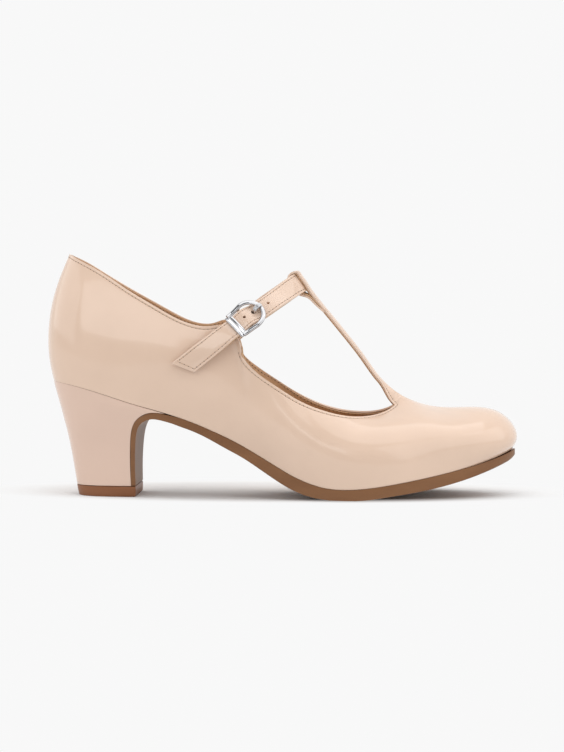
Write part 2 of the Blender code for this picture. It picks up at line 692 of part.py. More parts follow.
def prong_path():
    """The prong from the centre bar, under the strap, through its hole and onto the frame."""
    places = [
        # along, height
        (CENTRE_BAR_AT + 1.15, CENTRE_BAR_DEPTH), (11.0, -1.7), (12.4, -1.2),
        (13.3, 0.2), (14.0, 1.8), (15.0, 3.3), (16.3, 4.2), (17.6, 4.5), (18.9, 4.5),
    ]
    return [buckle_point(along, 0.0, height) for along, height in places]


def add_tube(name, path, radius, sides, material, collection, closed=False):
    """A round wire along a path, with flat ends, or joined into a ring."""
    path = np.array(path)
    slope = np.gradient(path, axis=0)
    if closed:
        slope = np.roll(path, -1, axis=0) - np.roll(path, 1, axis=0)
    slope = unit(slope)
    face = unit(BUCKLE_FACE)
    beside_face = np.cross(unit(BUCKLE_ALONG), face)
    angles = np.linspace(0, 2 * math.pi, sides, endpoint=False)
    rings = []
    for point, ahead in zip(path, slope):
        up = np.cross(beside_face, ahead)
        if abs(face @ ahead) < NEARLY_PARALLEL:
            up = face - (face @ ahead) * ahead
        up = unit(up)
        across = np.cross(ahead, up)
        rings.append([point + radius * (math.cos(a) * across + math.sin(a) * up) for a in angles])
    if not closed:
        return add_loft(name, np.array(rings), material, collection)
    count = len(rings)
    faces = []
    for ring in range(count):
        for side in range(sides):
            here, there = ring * sides, (ring + 1) % count * sides
            beside = (side + 1) % sides
            faces.append((here + side, here + beside, there + beside, there + side))
    return add_mesh(name, np.concatenate(rings), faces, material, collection)


def build_buckle(material):
    """The frame with its centre bar, and the prong."""
    radius = FRAME_WIRE / 2
    frame = add_tube("buckle_frame", frame_path(), radius, WIRE_SIDES, material, SHOE, closed=True)
    half = (FRAME_WIDTH - FRAME_WIRE) / 2
    bar = []
    for share in np.linspace(-1, 1, 15):
        depth = CENTRE_BAR_DEPTH * (1 - abs(share) ** 8)
        bar.append(buckle_point(CENTRE_BAR_AT, share * half, depth))
    centre_bar = add_tube("centre_bar", bar, CENTRE_BAR_WIRE / 2, WIRE_SIDES, material, CUTTERS)
    join = frame.modifiers.new("centre_bar", "BOOLEAN")
    join.object = centre_bar
    join.operation = "UNION"
    prong = add_tube("buckle_prong", prong_path(), PRONG_WIRE / 2, WIRE_SIDES, material, SHOE)
    return frame, prong


def build_tab(material):
    """The short strap folded round the centre bar and sewn inside the quarter's ear."""
    reach = CENTRE_BAR_WIRE / 2 + GAP + TAB_THICK / 2
    places = [
        # along, height
        (-12.7, -10.8), (-6.7, -8.7), (-1.8, -6.6), (2.4, -4.2), (5.2, CENTRE_BAR_DEPTH - reach),
    ]
    for angle in (-60, -30, 0, 30, 60, 90):
        turn = math.radians(angle)
        along = CENTRE_BAR_AT + reach * math.cos(turn)
        places.append((along, CENTRE_BAR_DEPTH + reach * math.sin(turn)))
    places += [(5.2, -0.7), (2.6, -1.6)]
    path = np.array([buckle_point(along, 0.0, height) for along, height in places])
    slope = unit(np.gradient(path, axis=0))
    buckle_side = unit(np.cross(unit(BUCKLE_ALONG), unit(BUCKLE_FACE)))
    quarter_side = unit(np.cross(unit(BUCKLE_ALONG), TAB_FACE_IN_QUARTER))
    faces = []
    for index, ahead in enumerate(slope):
        turn = smooth_step(index / 4)
        side = unit(quarter_side * (1 - turn) + buckle_side * turn)
        faces.append(np.cross(side, ahead))
    rings = swept_strip(path, np.array(faces), TAB_WIDTH, TAB_THICK, chamfer=0.15)
    tab = add_loft("buckle_tab", rings, material)
    slot_line = [buckle_point(CENTRE_BAR_AT + 1.3, 0.0, height) for height in (-5.0, 2.0)]
    slot_radius = PRONG_WIRE / 2 + GAP + 0.25
    slot = add_tube("prong_slot", slot_line, slot_radius, 12, material, CUTTERS)
    cut = tab.modifiers.new("slot", "BOOLEAN")
    cut.object = slot
    cut.operation = "DIFFERENCE"
    return tab


def clear_scene():
    """An empty scene with one collection for the shoe and one, not rendered, for cutters."""
    for item in list(bpy.data.objects):
        bpy.data.objects.remove(item, do_unlink=True)
    shoe = bpy.data.collections.new("t_strap_shoe")
    cutters = bpy.data.collections.new("cutters")
    for collection in (shoe, cutters):
        bpy.context.scene.collection.children.link(collection)
    return shoe, cutters


SHOE, CUTTERS = clear_scene()


def main():
    patent = add_material("nude_patent", (0.75, 0.57, 0.46), 0.08, coat=1.0)
    resin = add_material("brown_resin", (0.28, 0.15, 0.09), 0.45)
    lining = add_material("tan_lining", (0.44, 0.23, 0.10), 0.7)
    metal = add_material("polished_metal", (0.8, 0.8, 0.8), 0.1, metallic=1.0)
    last = Last()
    build_upper(last, patent)
    build_outsole(last, resin)
    build_insole(last, lining)
    build_heel(last, patent)
    build_top_piece(last, resin)
    build_strap(patent)
    build_buckle(metal)
    build_tab(patent)


main()
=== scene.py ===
"""Looks of a buckled T-strap court shoe in nude patent leather, in a pale studio.

Lengths in the tables are millimetres from the heel's rearmost point: +X to the toe, -Y to the
outer side, +Z up from the floor. place() moves them to the part's frame, in metres.
"""

import logging
import math
from dataclasses import dataclass
from enum import Enum

import bmesh
import bpy
import numpy as np
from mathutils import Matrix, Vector
from mathutils.bvhtree import BVHTree
from mathutils.kdtree import KDTree


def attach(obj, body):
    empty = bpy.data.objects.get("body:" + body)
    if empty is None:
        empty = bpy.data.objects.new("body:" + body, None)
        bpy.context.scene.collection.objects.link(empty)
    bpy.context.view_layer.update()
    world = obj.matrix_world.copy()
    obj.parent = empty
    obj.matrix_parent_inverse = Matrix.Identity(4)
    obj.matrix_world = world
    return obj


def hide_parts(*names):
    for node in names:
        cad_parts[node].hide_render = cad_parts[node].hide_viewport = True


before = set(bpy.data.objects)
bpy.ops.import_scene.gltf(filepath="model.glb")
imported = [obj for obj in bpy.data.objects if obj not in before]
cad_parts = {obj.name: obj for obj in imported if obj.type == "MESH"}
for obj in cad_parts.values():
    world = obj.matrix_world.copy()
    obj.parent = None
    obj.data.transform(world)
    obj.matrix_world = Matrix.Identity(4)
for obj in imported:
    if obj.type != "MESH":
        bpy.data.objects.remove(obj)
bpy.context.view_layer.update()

LOG = logging.getLogger("shoe")
MM = 0.001
ORIGIN = np.array([117.55, -0.3, 0.0])
# Clearance between pieces, and between pieces that are glued together.
GAP = 0.3
SEAM = 0.12
# Half the length over which a line's direction is read.
NEAR = 0.5
BODY = "root"

# Height of the line where the upper meets the sole: x, z.
SEAT_PROFILE = [
    (0.0, 58.0), (14.0, 56.0), (30.9, 51.6), (46.8, 46.6), (60.4, 42.8), (68.2, 40.3),
    (76.1, 37.4), (84.0, 34.0), (92.1, 30.3), (100.2, 26.1), (108.3, 21.5), (116.2, 16.9),
    (124.1, 12.5), (132.0, 9.1), (139.8, 6.9), (147.6, 6.1), (155.4, 6.3), (163.1, 7.1),
    (178.6, 9.6), (194.0, 12.5), (209.6, 16.0), (225.6, 20.4), (235.0, 23.6),
]

# Underside of the sole on its middle line: x, z.
SOLE_PROFILE = [
    (54.0, 39.6), (60.4, 38.9), (68.2, 36.2), (76.1, 33.2), (84.0, 29.2), (92.1, 24.5),
    (100.2, 19.9), (108.3, 14.6), (116.2, 9.4), (124.1, 4.9), (132.0, 1.9), (139.8, 0.4),
    (146.0, 0.0), (154.0, 0.0), (160.0, 0.3), (170.8, 1.9), (186.3, 4.3), (201.8, 7.5),
    (217.5, 12.3), (229.6, 17.2), (236.0, 20.3),
]

# Ribs of the upper from the back seam round the outer side, toe and inner side: name, sole's
# edge x, y, how far back along that edge the topline's rib stands, then the topline's x, y, z.
RIBS = [
    ("back", 3.6, 0.0, 0.0, 11.6, 0.0, 120.5),
    ("lateral_heel_1", 6.4, -13.2, 0.0, 13.2, -5.8, 119.8),
    ("lateral_heel_2", 15.0, -21.4, 0.0, 18.6, -10.9, 117.2),
    ("lateral_heel_3", 30.0, -25.3, 0.0, 30.0, -15.8, 111.2),
    ("lateral_quarter_1", 46.0, -26.0, 0.0, 44.0, -19.8, 102.4),
    ("lateral_quarter_2", 62.0, -25.3, 2.0, 58.9, -22.9, 93.8),
    ("lateral_quarter_3", 77.0, -23.9, 5.0, 72.0, -25.1, 87.3),
    ("lateral_quarter_4", 90.0, -23.3, 9.0, 83.2, -26.3, 85.2),
    ("lateral_ear_top", 102.0, -23.8, 13.0, 92.0, -26.9, 85.5),
    ("lateral_ear_front", 113.0, -26.0, 17.0, 98.3, -28.2, 79.3),
    ("lateral_waist_1", 124.0, -29.0, 19.0, 99.5, -28.9, 72.4),
    ("lateral_waist_2", 134.0, -32.0, 18.0, 105.8, -29.8, 64.2),
    ("lateral_waist_3", 144.0, -35.0, 15.0, 117.0, -30.6, 56.2),
    ("lateral_ball_1", 154.0, -37.2, 11.0, 129.0, -30.0, 48.7),
    ("lateral_ball_2", 164.5, -38.2, 7.0, 142.0, -27.6, 43.5),
    ("lateral_vamp_1", 175.0, -37.2, 3.0, 153.5, -23.8, 41.1),
    ("lateral_vamp_2", 186.0, -34.2, 1.0, 162.8, -18.9, 41.2),
    ("lateral_vamp_3", 197.0, -29.6, 0.0, 170.0, -13.4, 43.0),
    ("lateral_bar_foot", 208.6, -24.0, 0.0, 174.6, -8.0, 45.8),
    ("lateral_toe_1", 218.8, -17.0, 0.0, 176.7, -4.9, 47.9),
    ("lateral_toe_2", 227.4, -8.0, 0.0, 178.1, -2.0, 49.5),
    ("toe", 232.2, 4.0, 0.0, 178.5, 0.4, 49.9),
    ("medial_toe_2", 228.8, 15.0, 0.0, 178.1, 2.8, 49.5),
    ("medial_toe_1", 220.6, 23.0, 0.0, 176.7, 5.7, 47.9),
    ("medial_bar_foot", 209.4, 28.8, 0.0, 174.6, 8.8, 45.8),
    ("medial_vamp_3", 197.0, 33.0, 0.0, 169.9, 14.2, 42.9),
    ("medial_vamp_2", 186.0, 36.3, -1.0, 162.3, 19.6, 41.0),
    ("medial_vamp_1", 175.0, 37.2, -3.0, 152.5, 24.2, 40.8),
    ("medial_ball_2", 164.5, 35.8, -7.0, 140.5, 27.4, 42.9),
    ("medial_ball_1", 154.0, 32.4, -11.0, 127.0, 28.8, 48.3),
    ("medial_waist_3", 144.0, 27.7, -15.0, 114.3, 28.6, 56.0),
    ("medial_waist_2", 134.0, 23.1, -18.0, 102.5, 27.7, 63.9),
    ("medial_waist_1", 124.0, 19.4, -19.0, 95.2, 26.9, 71.2),
    ("medial_ear_front", 113.0, 17.0, -17.0, 93.4, 26.2, 79.3),
    ("medial_ear_top", 102.0, 16.4, -13.0, 88.8, 25.5, 86.6),
    ("medial_quarter_4", 90.0, 17.8, -9.0, 81.6, 25.0, 85.4),
    ("medial_quarter_3", 77.0, 20.5, -5.0, 71.4, 23.9, 86.2),
    ("medial_quarter_2", 62.0, 23.5, -2.0, 58.4, 22.1, 92.5),
    ("medial_quarter_1", 46.0, 25.3, 0.0, 43.6, 19.2, 100.9),
    ("medial_heel_3", 30.0, 25.1, 0.0, 29.8, 15.5, 109.3),
    ("medial_heel_2", 15.0, 21.4, 0.0, 18.6, 10.8, 116.5),
    ("medial_heel_1", 6.4, 13.2, 0.0, 13.2, 5.8, 119.4),
]

# How full the upper stands out from the line between a rib's ends: four pairs of the share
# along that line and the distance out from it.
FULLNESS = {
    "back": (0.13, 3.0, 0.38, 5.8, 0.63, 5.5, 0.86, 2.6),
    "lateral_heel_2": (0.15, 2.4, 0.40, 4.6, 0.65, 4.3, 0.86, 2.1),
    "lateral_quarter_1": (0.18, 2.4, 0.42, 3.9, 0.68, 3.3, 0.87, 1.6),
    "lateral_quarter_3": (0.20, 2.4, 0.45, 4.0, 0.70, 3.4, 0.88, 1.6),
    "lateral_ear_front": (0.20, 2.6, 0.45, 3.0, 0.70, 1.3, 0.88, 0.3),
    "lateral_waist_1": (0.20, 2.6, 0.45, 3.2, 0.70, 1.5, 0.88, 0.4),
    "lateral_waist_3": (0.20, 2.6, 0.45, 4.0, 0.70, 3.0, 0.88, 1.3),
    "lateral_ball_2": (0.20, 3.4, 0.45, 5.6, 0.70, 4.8, 0.88, 2.3),
    "lateral_vamp_2": (0.17, 4.9, 0.41, 8.7, 0.67, 7.6, 0.87, 3.6),
    "lateral_bar_foot": (0.08, 5.4, 0.27, 11.2, 0.55, 10.4, 0.81, 5.2),
    "toe": (0.00, 7.0, 0.19, 14.4, 0.54, 7.7, 0.82, 0.9),
    "medial_bar_foot": (0.08, 5.4, 0.27, 11.2, 0.55, 10.4, 0.81, 5.2),
    "medial_vamp_2": (0.17, 4.9, 0.41, 8.7, 0.67, 7.6, 0.87, 3.6),
    "medial_ball_2": (0.20, 3.5, 0.45, 5.9, 0.70, 5.1, 0.88, 2.4),
    "medial_waist_3": (0.20, 3.6, 0.45, 4.9, 0.70, 3.4, 0.88, 1.4),
    "medial_waist_1": (0.20, 3.6, 0.45, 4.2, 0.70, 2.0, 0.88, 0.5),
    "medial_ear_front": (0.20, 3.6, 0.45, 4.0, 0.70, 1.8, 0.88, 0.4),
    "medial_quarter_3": (0.20, 2.8, 0.45, 4.0, 0.70, 3.2, 0.88, 1.4),
    "medial_quarter_1": (0.18, 2.2, 0.42, 3.7, 0.68, 3.2, 0.87, 1.6),
    "medial_heel_2": (0.15, 2.4, 0.40, 4.6, 0.65, 4.3, 0.86, 2.1),
}

# The T-bar's outer face from the throat to the fold over the strap: x, z.
BAR_PROFILE = [
    (178.5, 49.9), (175.2, 52.0), (171.6, 54.9), (168.0, 58.4), (160.1, 69.0), (152.1, 79.4),
    (144.1, 89.2), (136.4, 98.6), (132.4, 104.0), (129.8, 108.0),
]

# The buckle on the strap: the keeper's middle, the way along the strap, the way it faces.
KEEPER = np.array([96.6, -29.8, 84.4])
BUCKLE_ALONG = np.array([0.762, 0.371, 0.531])
BUCKLE_FACE = np.array([0.0, -0.82, 0.572])
HOLE_SHIFT = -0.4

# Middle line of the strap and the way its outer face looks, on both sides of the buckle.
STRAP_FREE = [
    (71.5, -30.6, 65.0, -0.06, -0.99, 0.04),
    (77.0, -30.9, 69.3, -0.06, -0.99, 0.10),
    (83.0, -31.3, 74.0, -0.06, -0.97, 0.20),
    (89.5, -31.2, 79.1, -0.05, -0.93, 0.36),
]
STRAP_INSTEP = [
    (118.2, -15.4, 99.7, 0.24, -0.72, 0.65),
    (123.8, -8.6, 104.0, 0.60, -0.42, 0.68),
    (126.6, -4.0, 105.9, 0.80, -0.12, 0.58),
    (127.3, 0.0, 106.2, 0.84, 0.0, 0.54),
    (126.6, 4.0, 105.9, 0.80, 0.12, 0.58),
    (123.6, 8.4, 104.4, 0.58, 0.44, 0.68),
    (117.2, 14.6, 100.4, 0.24, 0.70, 0.67),
    (108.6, 19.2, 94.5, 0.06, 0.84, 0.54),
    (100.0, 21.6, 87.6, 0.0, 0.93, 0.36),
    (92.5, 22.6, 81.2, 0.0, 0.97, 0.22),
    (86.0, 22.6, 75.6, 0.0, 0.99, 0.10),
]

# Rings of the heel: back x, z, front x, z, half width.
HEEL_RINGS = [
    (15.0, 5.5, 43.9, 5.5, 15.7),
    (13.3, 16.0, 43.6, 16.0, 16.7),
    (11.6, 25.5, 43.8, 25.0, 18.2),
    (9.7, 34.0, 44.5, 32.0, 20.3),
    (7.8, 41.5, 46.4, 37.4, 22.3),
    (6.2, 48.5, 50.2, 41.0, 24.0),
    (4.9, 54.0, 55.4, 42.6, 25.2),
    (3.9, 57.6, 62.0, 42.1, 25.6),
]

# The sole's upper face from the foot of the flap up the heel's front to the waist: x, z.
BREAST_LINE = [
    (44.2, 5.6), (44.0, 16.0), (44.2, 25.6), (44.9, 32.4), (46.8, 37.5), (50.6, 40.8),
    (55.4, 42.3), (60.4, 42.0), (66.0, 40.8),
]


class Slot(Enum):
    """The record's material slots."""

    PATENT = "patent_leather"
    HEEL = "covered_heel"
    SOLE = "resin_sole"
    LIFT = "heel_lift"
    LINING = "lining_leather"
    METAL = "buckle_metal"


def place(points) -> np.ndarray:
    """Shoe millimetres to the part's frame.

    Args:
        points: one point or rows of points.

    Returns:
        The same points in metres.
    """
    return (np.asarray(points, float) - ORIGIN) * MM


def unit(vectors) -> np.ndarray:
    """The vectors, each with length 1."""
    vectors = np.asarray(vectors, float)
    return vectors / np.linalg.norm(vectors, axis=-1, keepdims=True)


def smooth_step(share):
    """An S-shaped rise from 0 to 1, of a number or an array."""
    share = np.clip(share, 0.0, 1.0)
    return share * share * (3 - 2 * share)


def eased(value: float, start: float, length: float) -> float:
    """An S-shaped rise from 0 at start to 1 at the end of the length."""
    return float(smooth_step((value - start) / length))


def square(face, ahead) -> np.ndarray:
    """The way a face looks, turned square to the way ahead."""
    return unit(face - (face @ ahead) * ahead)


def spline(knots, values, at, periodic: bool = False) -> np.ndarray:
    """Natural or periodic cubic spline.

    Args:
        knots: places of the values, rising.
        values: a row for each knot.
        at: places to read.
        periodic: True where the last value repeats the first.

    Returns:
        A row for each place.
    """
    knots = np.asarray(knots, float)
    values = np.asarray(values, float).reshape(len(values), -1)
    if periodic:
        span = knots[-1] - knots[0]
        inner = len(knots) - 1
        turns = 3
        knots = np.concatenate([knots[:-1] + span * turn for turn in range(-turns, turns + 1)])
        values = np.tile(values[:inner], (2 * turns + 1, 1))
        at = np.mod(np.asarray(at, float), span)
    step = np.diff(knots)
    slope = np.diff(values, axis=0) / step[:, None]
    count = len(knots)
    system = np.eye(count)
    right = np.zeros_like(values)
    for row in range(1, count - 1):
        system[row, row - 1] = step[row - 1]
        system[row, row] = 2 * (step[row - 1] + step[row])
        system[row, row + 1] = step[row]
        right[row] = 6 * (slope[row] - slope[row - 1])
    bend = np.linalg.solve(system, right)
    at = np.atleast_1d(np.asarray(at, float))
    seg = np.clip(np.searchsorted(knots, at, side="right") - 1, 0, count - 2)
    width = step[seg][:, None]
    left = (knots[seg + 1] - at)[:, None] / width
    rest = 1 - left
    return (
        left * values[seg]
        + rest * values[seg + 1]
        + ((left**3 - left) * bend[seg] + (rest**3 - rest) * bend[seg + 1]) * width**2 / 6
    )


def profile(table, x) -> np.ndarray:
    """Height at x on a smooth line through a table of x and z."""
    table = np.asarray(table, float)
    x = np.clip(np.asarray(x, float), table[0, 0], table[-1, 0])
    return spline(table[:, 0], table[:, 1], x)[:, 0].reshape(np.shape(x))


def lengths(points) -> np.ndarray:
    """Distance along a line of points, from 0 at its first."""
    return np.concatenate([[0], np.cumsum(np.linalg.norm(np.diff(points, axis=0), axis=1))])


def directions(points, closed: bool = False) -> np.ndarray:
    """Unit directions along a line of points."""
    if closed:
        return unit(np.roll(points, -1, axis=0) - np.roll(points, 1, axis=0))
    return unit(np.gradient(points, axis=0))


def distances(points, targets) -> np.ndarray:
    """Distance from each point to the nearest of the targets."""
    tree = KDTree(len(targets))
    for index, target in enumerate(targets):
        tree.insert(target, index)
    tree.balance()
    return np.array([tree.find(point)[2] for point in points])


def resampled(line, step: float = 0.5) -> np.ndarray:
    """Points at even steps along a line."""
    run = lengths(line)
    at = np.arange(0, run[-1], step)
    return np.column_stack([np.interp(at, run, line[:, axis]) for axis in range(3)])


def evened(line, reach: int) -> np.ndarray:
    """A line of points with its small kinks averaged away, its ends kept."""
    padded = np.concatenate([np.repeat(line[:1], reach, axis=0), line, np.repeat(line[-1:], reach, axis=0)])
    window = np.ones(2 * reach + 1) / (2 * reach + 1)
    return np.column_stack([np.convolve(padded[:, axis], window, "valid") for axis in range(line.shape[1])])


class LastShape:
    """The upper's outer face as ribs between the sole's edge and the topline."""

    least_slant: float = 0.16

    def __init__(self) -> None:
        """Reads the tables."""
        rows = np.array([row[1:] for row in RIBS], float)
        self.names = [row[0] for row in RIBS]
        feather = np.column_stack([rows[:, :2], profile(SEAT_PROFILE, rows[:, 0])])
        self.feather_rows = np.vstack([feather, feather[:1]])
        self.knots = lengths(self.feather_rows)
        self.top_rows = np.vstack([rows[:, 3:], rows[:1, 3:]])
        self.top_knots = self.knots - np.append(rows[:, 2], 0.0)
        keys = [self.names.index(name) for name in FULLNESS]
        full = np.array(list(FULLNESS.values()))
        self.full_knots = np.append(self.top_knots[keys], self.knots[-1])
        self.full_rows = np.vstack([full, full[:1]])

    def at(self, name: str) -> float:
        """Place of a named rib along the outline."""
        return self.knots[self.names.index(name)]

    def feather(self, u) -> np.ndarray:
        """Points of the sole's edge at places u along the outline."""
        points = spline(self.knots, self.feather_rows, u, periodic=True)
        points[:, 2] = profile(SEAT_PROFILE, points[:, 0])
        return points

    def outward(self, u) -> np.ndarray:
        """Level directions square to the outline."""
        ahead = spline(self.knots, self.feather_rows, np.asarray(u) + NEAR, periodic=True)
        behind = spline(self.knots, self.feather_rows, np.asarray(u) - NEAR, periodic=True)
        along = ahead - behind
        return unit(np.column_stack([along[:, 1], -along[:, 0], np.zeros(len(along))]))

    def ribs(self, u, near_top, low_rows: int, inset: float) -> np.ndarray:
        """Grid of points on the ribs.

        Args:
            u: places along the outline.
            near_top: distances from the topline for the rows by it, rising from 0.
            low_rows: how many rows share the rest of each rib.
            inset: how far the whole grid stops short of the topline.

        Returns:
            An array of ribs by rows by x, y, z, lowest row first.
        """
        low = self.feather(u)
        high = spline(self.top_knots, self.top_rows, u, periodic=True)
        chord = high - low
        along = unit(chord)
        out = self.outward(u)
        out = unit(out - (out * along).sum(1, keepdims=True) * along)
        full = spline(self.full_knots, self.full_rows, u, periodic=True)
        u = np.asarray(u)
        ahead = spline(self.top_knots, self.top_rows, u + NEAR, periodic=True)
        ahead = unit(ahead - spline(self.top_knots, self.top_rows, u - NEAR, periodic=True))
        slant = 1 / np.sqrt(np.maximum(1 - (ahead * along).sum(1) ** 2, self.least_slant))
        near_top = np.asarray(near_top)
        grid = np.empty((len(low), low_rows + len(near_top), 3))
        for column in range(len(low)):
            points = [low[column]]
            for part in range(4):
                share, offset = full[column, 2 * part : 2 * part + 2]
                points.append(low[column] + share * chord[column] + offset * out[column])
            points = np.array(points + [high[column]])
            knots = lengths(points)
            top = knots[-1] - inset * slant[column]
            above = top - near_top[::-1] * slant[column]
            below = np.linspace(0, above[0], low_rows, endpoint=False)
            grid[column] = spline(knots, points, np.concatenate([below, above]))
        return grid

    def halves(self, count: int, inset: float):
        """The outline's two sides.

        Args:
            count: how many places, closer together at both ends.
            inset: how far inside the sole's edge.

        Returns:
            x, and the outer and inner side's y at each.
        """
        u = np.linspace(0, self.knots[-1], 900, endpoint=False)
        loop = self.feather(u) - self.outward(u) * inset
        heel, toe = loop[:, 0].argmin(), loop[:, 0].argmax()
        loop = np.roll(loop, -heel, axis=0)
        toe = (toe - heel) % len(loop)
        lateral = loop[: toe + 1]
        medial = np.concatenate([loop[toe:], loop[:1]])[::-1]
        low, high = loop[0, 0] + 0.15, loop[toe, 0] - 0.15
        x = low + (high - low) * (1 - np.cos(np.linspace(0, math.pi, count))) / 2
        return x, np.interp(x, lateral[:, 0], lateral[:, 1]), np.interp(x, medial[:, 0], medial[:, 1])


def activate(piece) -> None:
    """Makes one object the only selected and the active one."""
    bpy.ops.object.select_all(action="DESELECT")
    piece.select_set(True)
    bpy.context.view_layer.objects.active = piece


def modify(piece, kind: str, **settings) -> None:
    """Adds a modifier and applies it.

    Args:
        piece: the object.
        kind: the modifier's type.
        settings: its properties.
    """
    activate(piece)
    modifier = piece.modifiers.new(kind.lower(), kind)
    for name, value in settings.items():
        setattr(modifier, name, value)
    bpy.ops.object.modifier_apply(modifier=modifier.name)


def bevel(piece, width: float, segments: int, degrees: float) -> None:
    """Rounds the edges of a piece that are sharper than an angle.

    Args:
        piece: the object.
        width: the rounding's width in millimetres.
        segments: faces across it.
        degrees: the angle.
    """
    limit = math.radians(degrees)
    modify(piece, "BEVEL", width=width * MM, segments=segments, limit_method="ANGLE", angle_limit=limit)


def smooth(piece, degrees: float = 40) -> None:
    """Shades a piece smooth up to an angle."""
    activate(piece)
    bpy.ops.object.shade_smooth_by_angle(angle=math.radians(degrees))


def add_piece(name: str, vertices, faces, materials):
    """A new piece that rides on the shoe.

    Args:
        name: its name.
        vertices: points in shoe millimetres.
        faces: rows of vertex numbers.
        materials: its materials.

    Returns:
        The object.
    """
    mesh = bpy.data.meshes.new(name)
    mesh.from_pydata([tuple(point) for point in place(vertices)], [], [tuple(face) for face in faces])
    mesh.validate()
    mesh.update()
    for material in materials:
        mesh.materials.append(material)
    piece = bpy.data.objects.new(name, mesh)
    bpy.context.scene.collection.objects.link(piece)
    return dress(piece)


def dress(piece):
    """Lets a piece ride on the shoe."""
    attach(piece, BODY)
    return piece


def outward_normals(piece) -> None:
    """Turns all the faces of a closed piece outwards."""
    body = bmesh.new()
    body.from_mesh(piece.data)
    bmesh.ops.recalc_face_normals(body, faces=body.faces)
    body.to_mesh(piece.data)
    body.free()


def loft_faces(rings: int, count: int, closed: bool = False) -> list:
    """Faces of a loft.

    Args:
        rings: how many rings.
        count: points in each.
        closed: True where the last ring joins the first, otherwise both ends are capped.

    Returns:
        The faces.
    """
    faces = []
    for ring in range(rings if closed else rings - 1):
        after = (ring + 1) % rings
        for point in range(count):
            beside = (point + 1) % count
            here, there = ring * count, after * count
            faces.append((here + point, here + beside, there + beside, there + point))
    if not closed:
        faces.append(tuple(range(count)))
        faces.append(tuple(range((rings - 1) * count, rings * count)))
    return faces


def add_loft(name: str, rings, material, closed: bool = False):
    """A piece through rings with equal numbers of points, its faces turned outwards."""
    rings = np.asarray(rings)
    faces = loft_faces(len(rings), rings.shape[1], closed)
    piece = add_piece(name, rings.reshape(-1, 3), faces, [material])
    outward_normals(piece)
    return piece


def sweep(path, faces, section, closed: bool = False) -> np.ndarray:
    """Rings of a section along a path.

    Args:
        path: points.
        faces: the way the section's height points, at each.
        section: rows of side and height, or one such array for each point.
        closed: True for a loop.

    Returns:
        An array of rings.
    """
    path = np.asarray(path, float)
    ahead = directions(path, closed)
    section = np.asarray(section, float)
    rings = []
    for index, point in enumerate(path):
        face = square(faces[index], ahead[index])
        across = np.cross(ahead[index], face)
        own = section if section.ndim == 2 else section[index]
        rings.append(point + own[:, :1] * across + own[:, 1:] * face)
    return np.array(rings)


def rounded_section(half_width: float, half_height: float, power: float, count: int) -> np.ndarray:
    """A section between an ellipse, at power 2, and a rectangle."""
    angle = np.linspace(0, 2 * math.pi, count, endpoint=False)
    reach = (np.abs(np.cos(angle)) ** power + np.abs(np.sin(angle)) ** power) ** (-1 / power)
    return np.column_stack([half_width * reach * np.cos(angle), half_height * reach * np.sin(angle)])


class Nodes:
    """Builds one material's nodes."""

    def __init__(self, name: str) -> None:
        """Starts a material with a Principled shader.

        Args:
            name: the material's name.
        """
        self.material = bpy.data.materials.new(name)
        self.material.use_nodes = True
        self.tree = self.material.node_tree
        self.shader = self.tree.nodes["Principled BSDF"]
        self.place = self.tree.nodes.new("ShaderNodeTexCoord").outputs["Object"]

    def set(self, **values) -> None:
        """Sets sockets of the shader, whose names are written with _ for a space."""
        for name, value in values.items():
            self.shader.inputs[name.replace("_", " ")].default_value = value

    def noise(self, scale: float, detail: float = 3.0, stretch=(1, 1, 1)):
        """A noise pattern.

        Args:
            scale: waves in a metre.
            detail: how many finer layers it has.
            stretch: the scale's factor along X, Y and Z.

        Returns:
            The pattern's value socket.
        """
        turn = self.tree.nodes.new("ShaderNodeMapping")
        turn.inputs["Scale"].default_value = stretch
        self.tree.links.new(self.place, turn.inputs["Vector"])
        node = self.tree.nodes.new("ShaderNodeTexNoise")
        node.inputs["Scale"].default_value = scale
        node.inputs["Detail"].default_value = detail
        self.tree.links.new(turn.outputs["Vector"], node.inputs["Vector"])
        return node.outputs["Fac"]

    def cells(self, scale: float):
        """Distance to the nearest of scattered points, with scale cells in a metre."""
        node = self.tree.nodes.new("ShaderNodeTexVoronoi")
        node.inputs["Scale"].default_value = scale
        self.tree.links.new(self.place, node.inputs["Vector"])
        return node.outputs["Distance"]

    def blend(self, factor, low, high, first: float = 0.3, last: float = 0.7):
        """Colours by a value.

        Args:
            factor: the value's socket.
            low: colour at first and below.
            high: colour at last and above.
            first: where the change starts.
            last: where it ends.

        Returns:
            The colour socket.
        """
        ramp = self.tree.nodes.new("ShaderNodeValToRGB")
        ramp.color_ramp.elements[0].position = first
        ramp.color_ramp.elements[0].color = (*low, 1)
        ramp.color_ramp.elements[1].position = last
        ramp.color_ramp.elements[1].color = (*high, 1)
        self.tree.links.new(factor, ramp.inputs["Fac"])
        return ramp.outputs["Color"]

    def link(self, output, name: str) -> None:
        """Joins a socket to one of the shader's."""
        self.tree.links.new(output, self.shader.inputs[name])

    def bump(self, height, distance: float, strength: float = 1.0) -> None:
        """Adds relief on top of what is there.

        Args:
            height: the pattern's socket.
            distance: its height in metres.
            strength: how much of it shows.
        """
        node = self.tree.nodes.new("ShaderNodeBump")
        node.inputs["Distance"].default_value = distance
        node.inputs["Strength"].default_value = strength
        self.tree.links.new(height, node.inputs["Height"])
        normal = self.shader.inputs["Normal"]
        if normal.is_linked:
            self.tree.links.new(normal.links[0].from_socket, node.inputs["Normal"])
        self.tree.links.new(node.outputs["Normal"], normal)


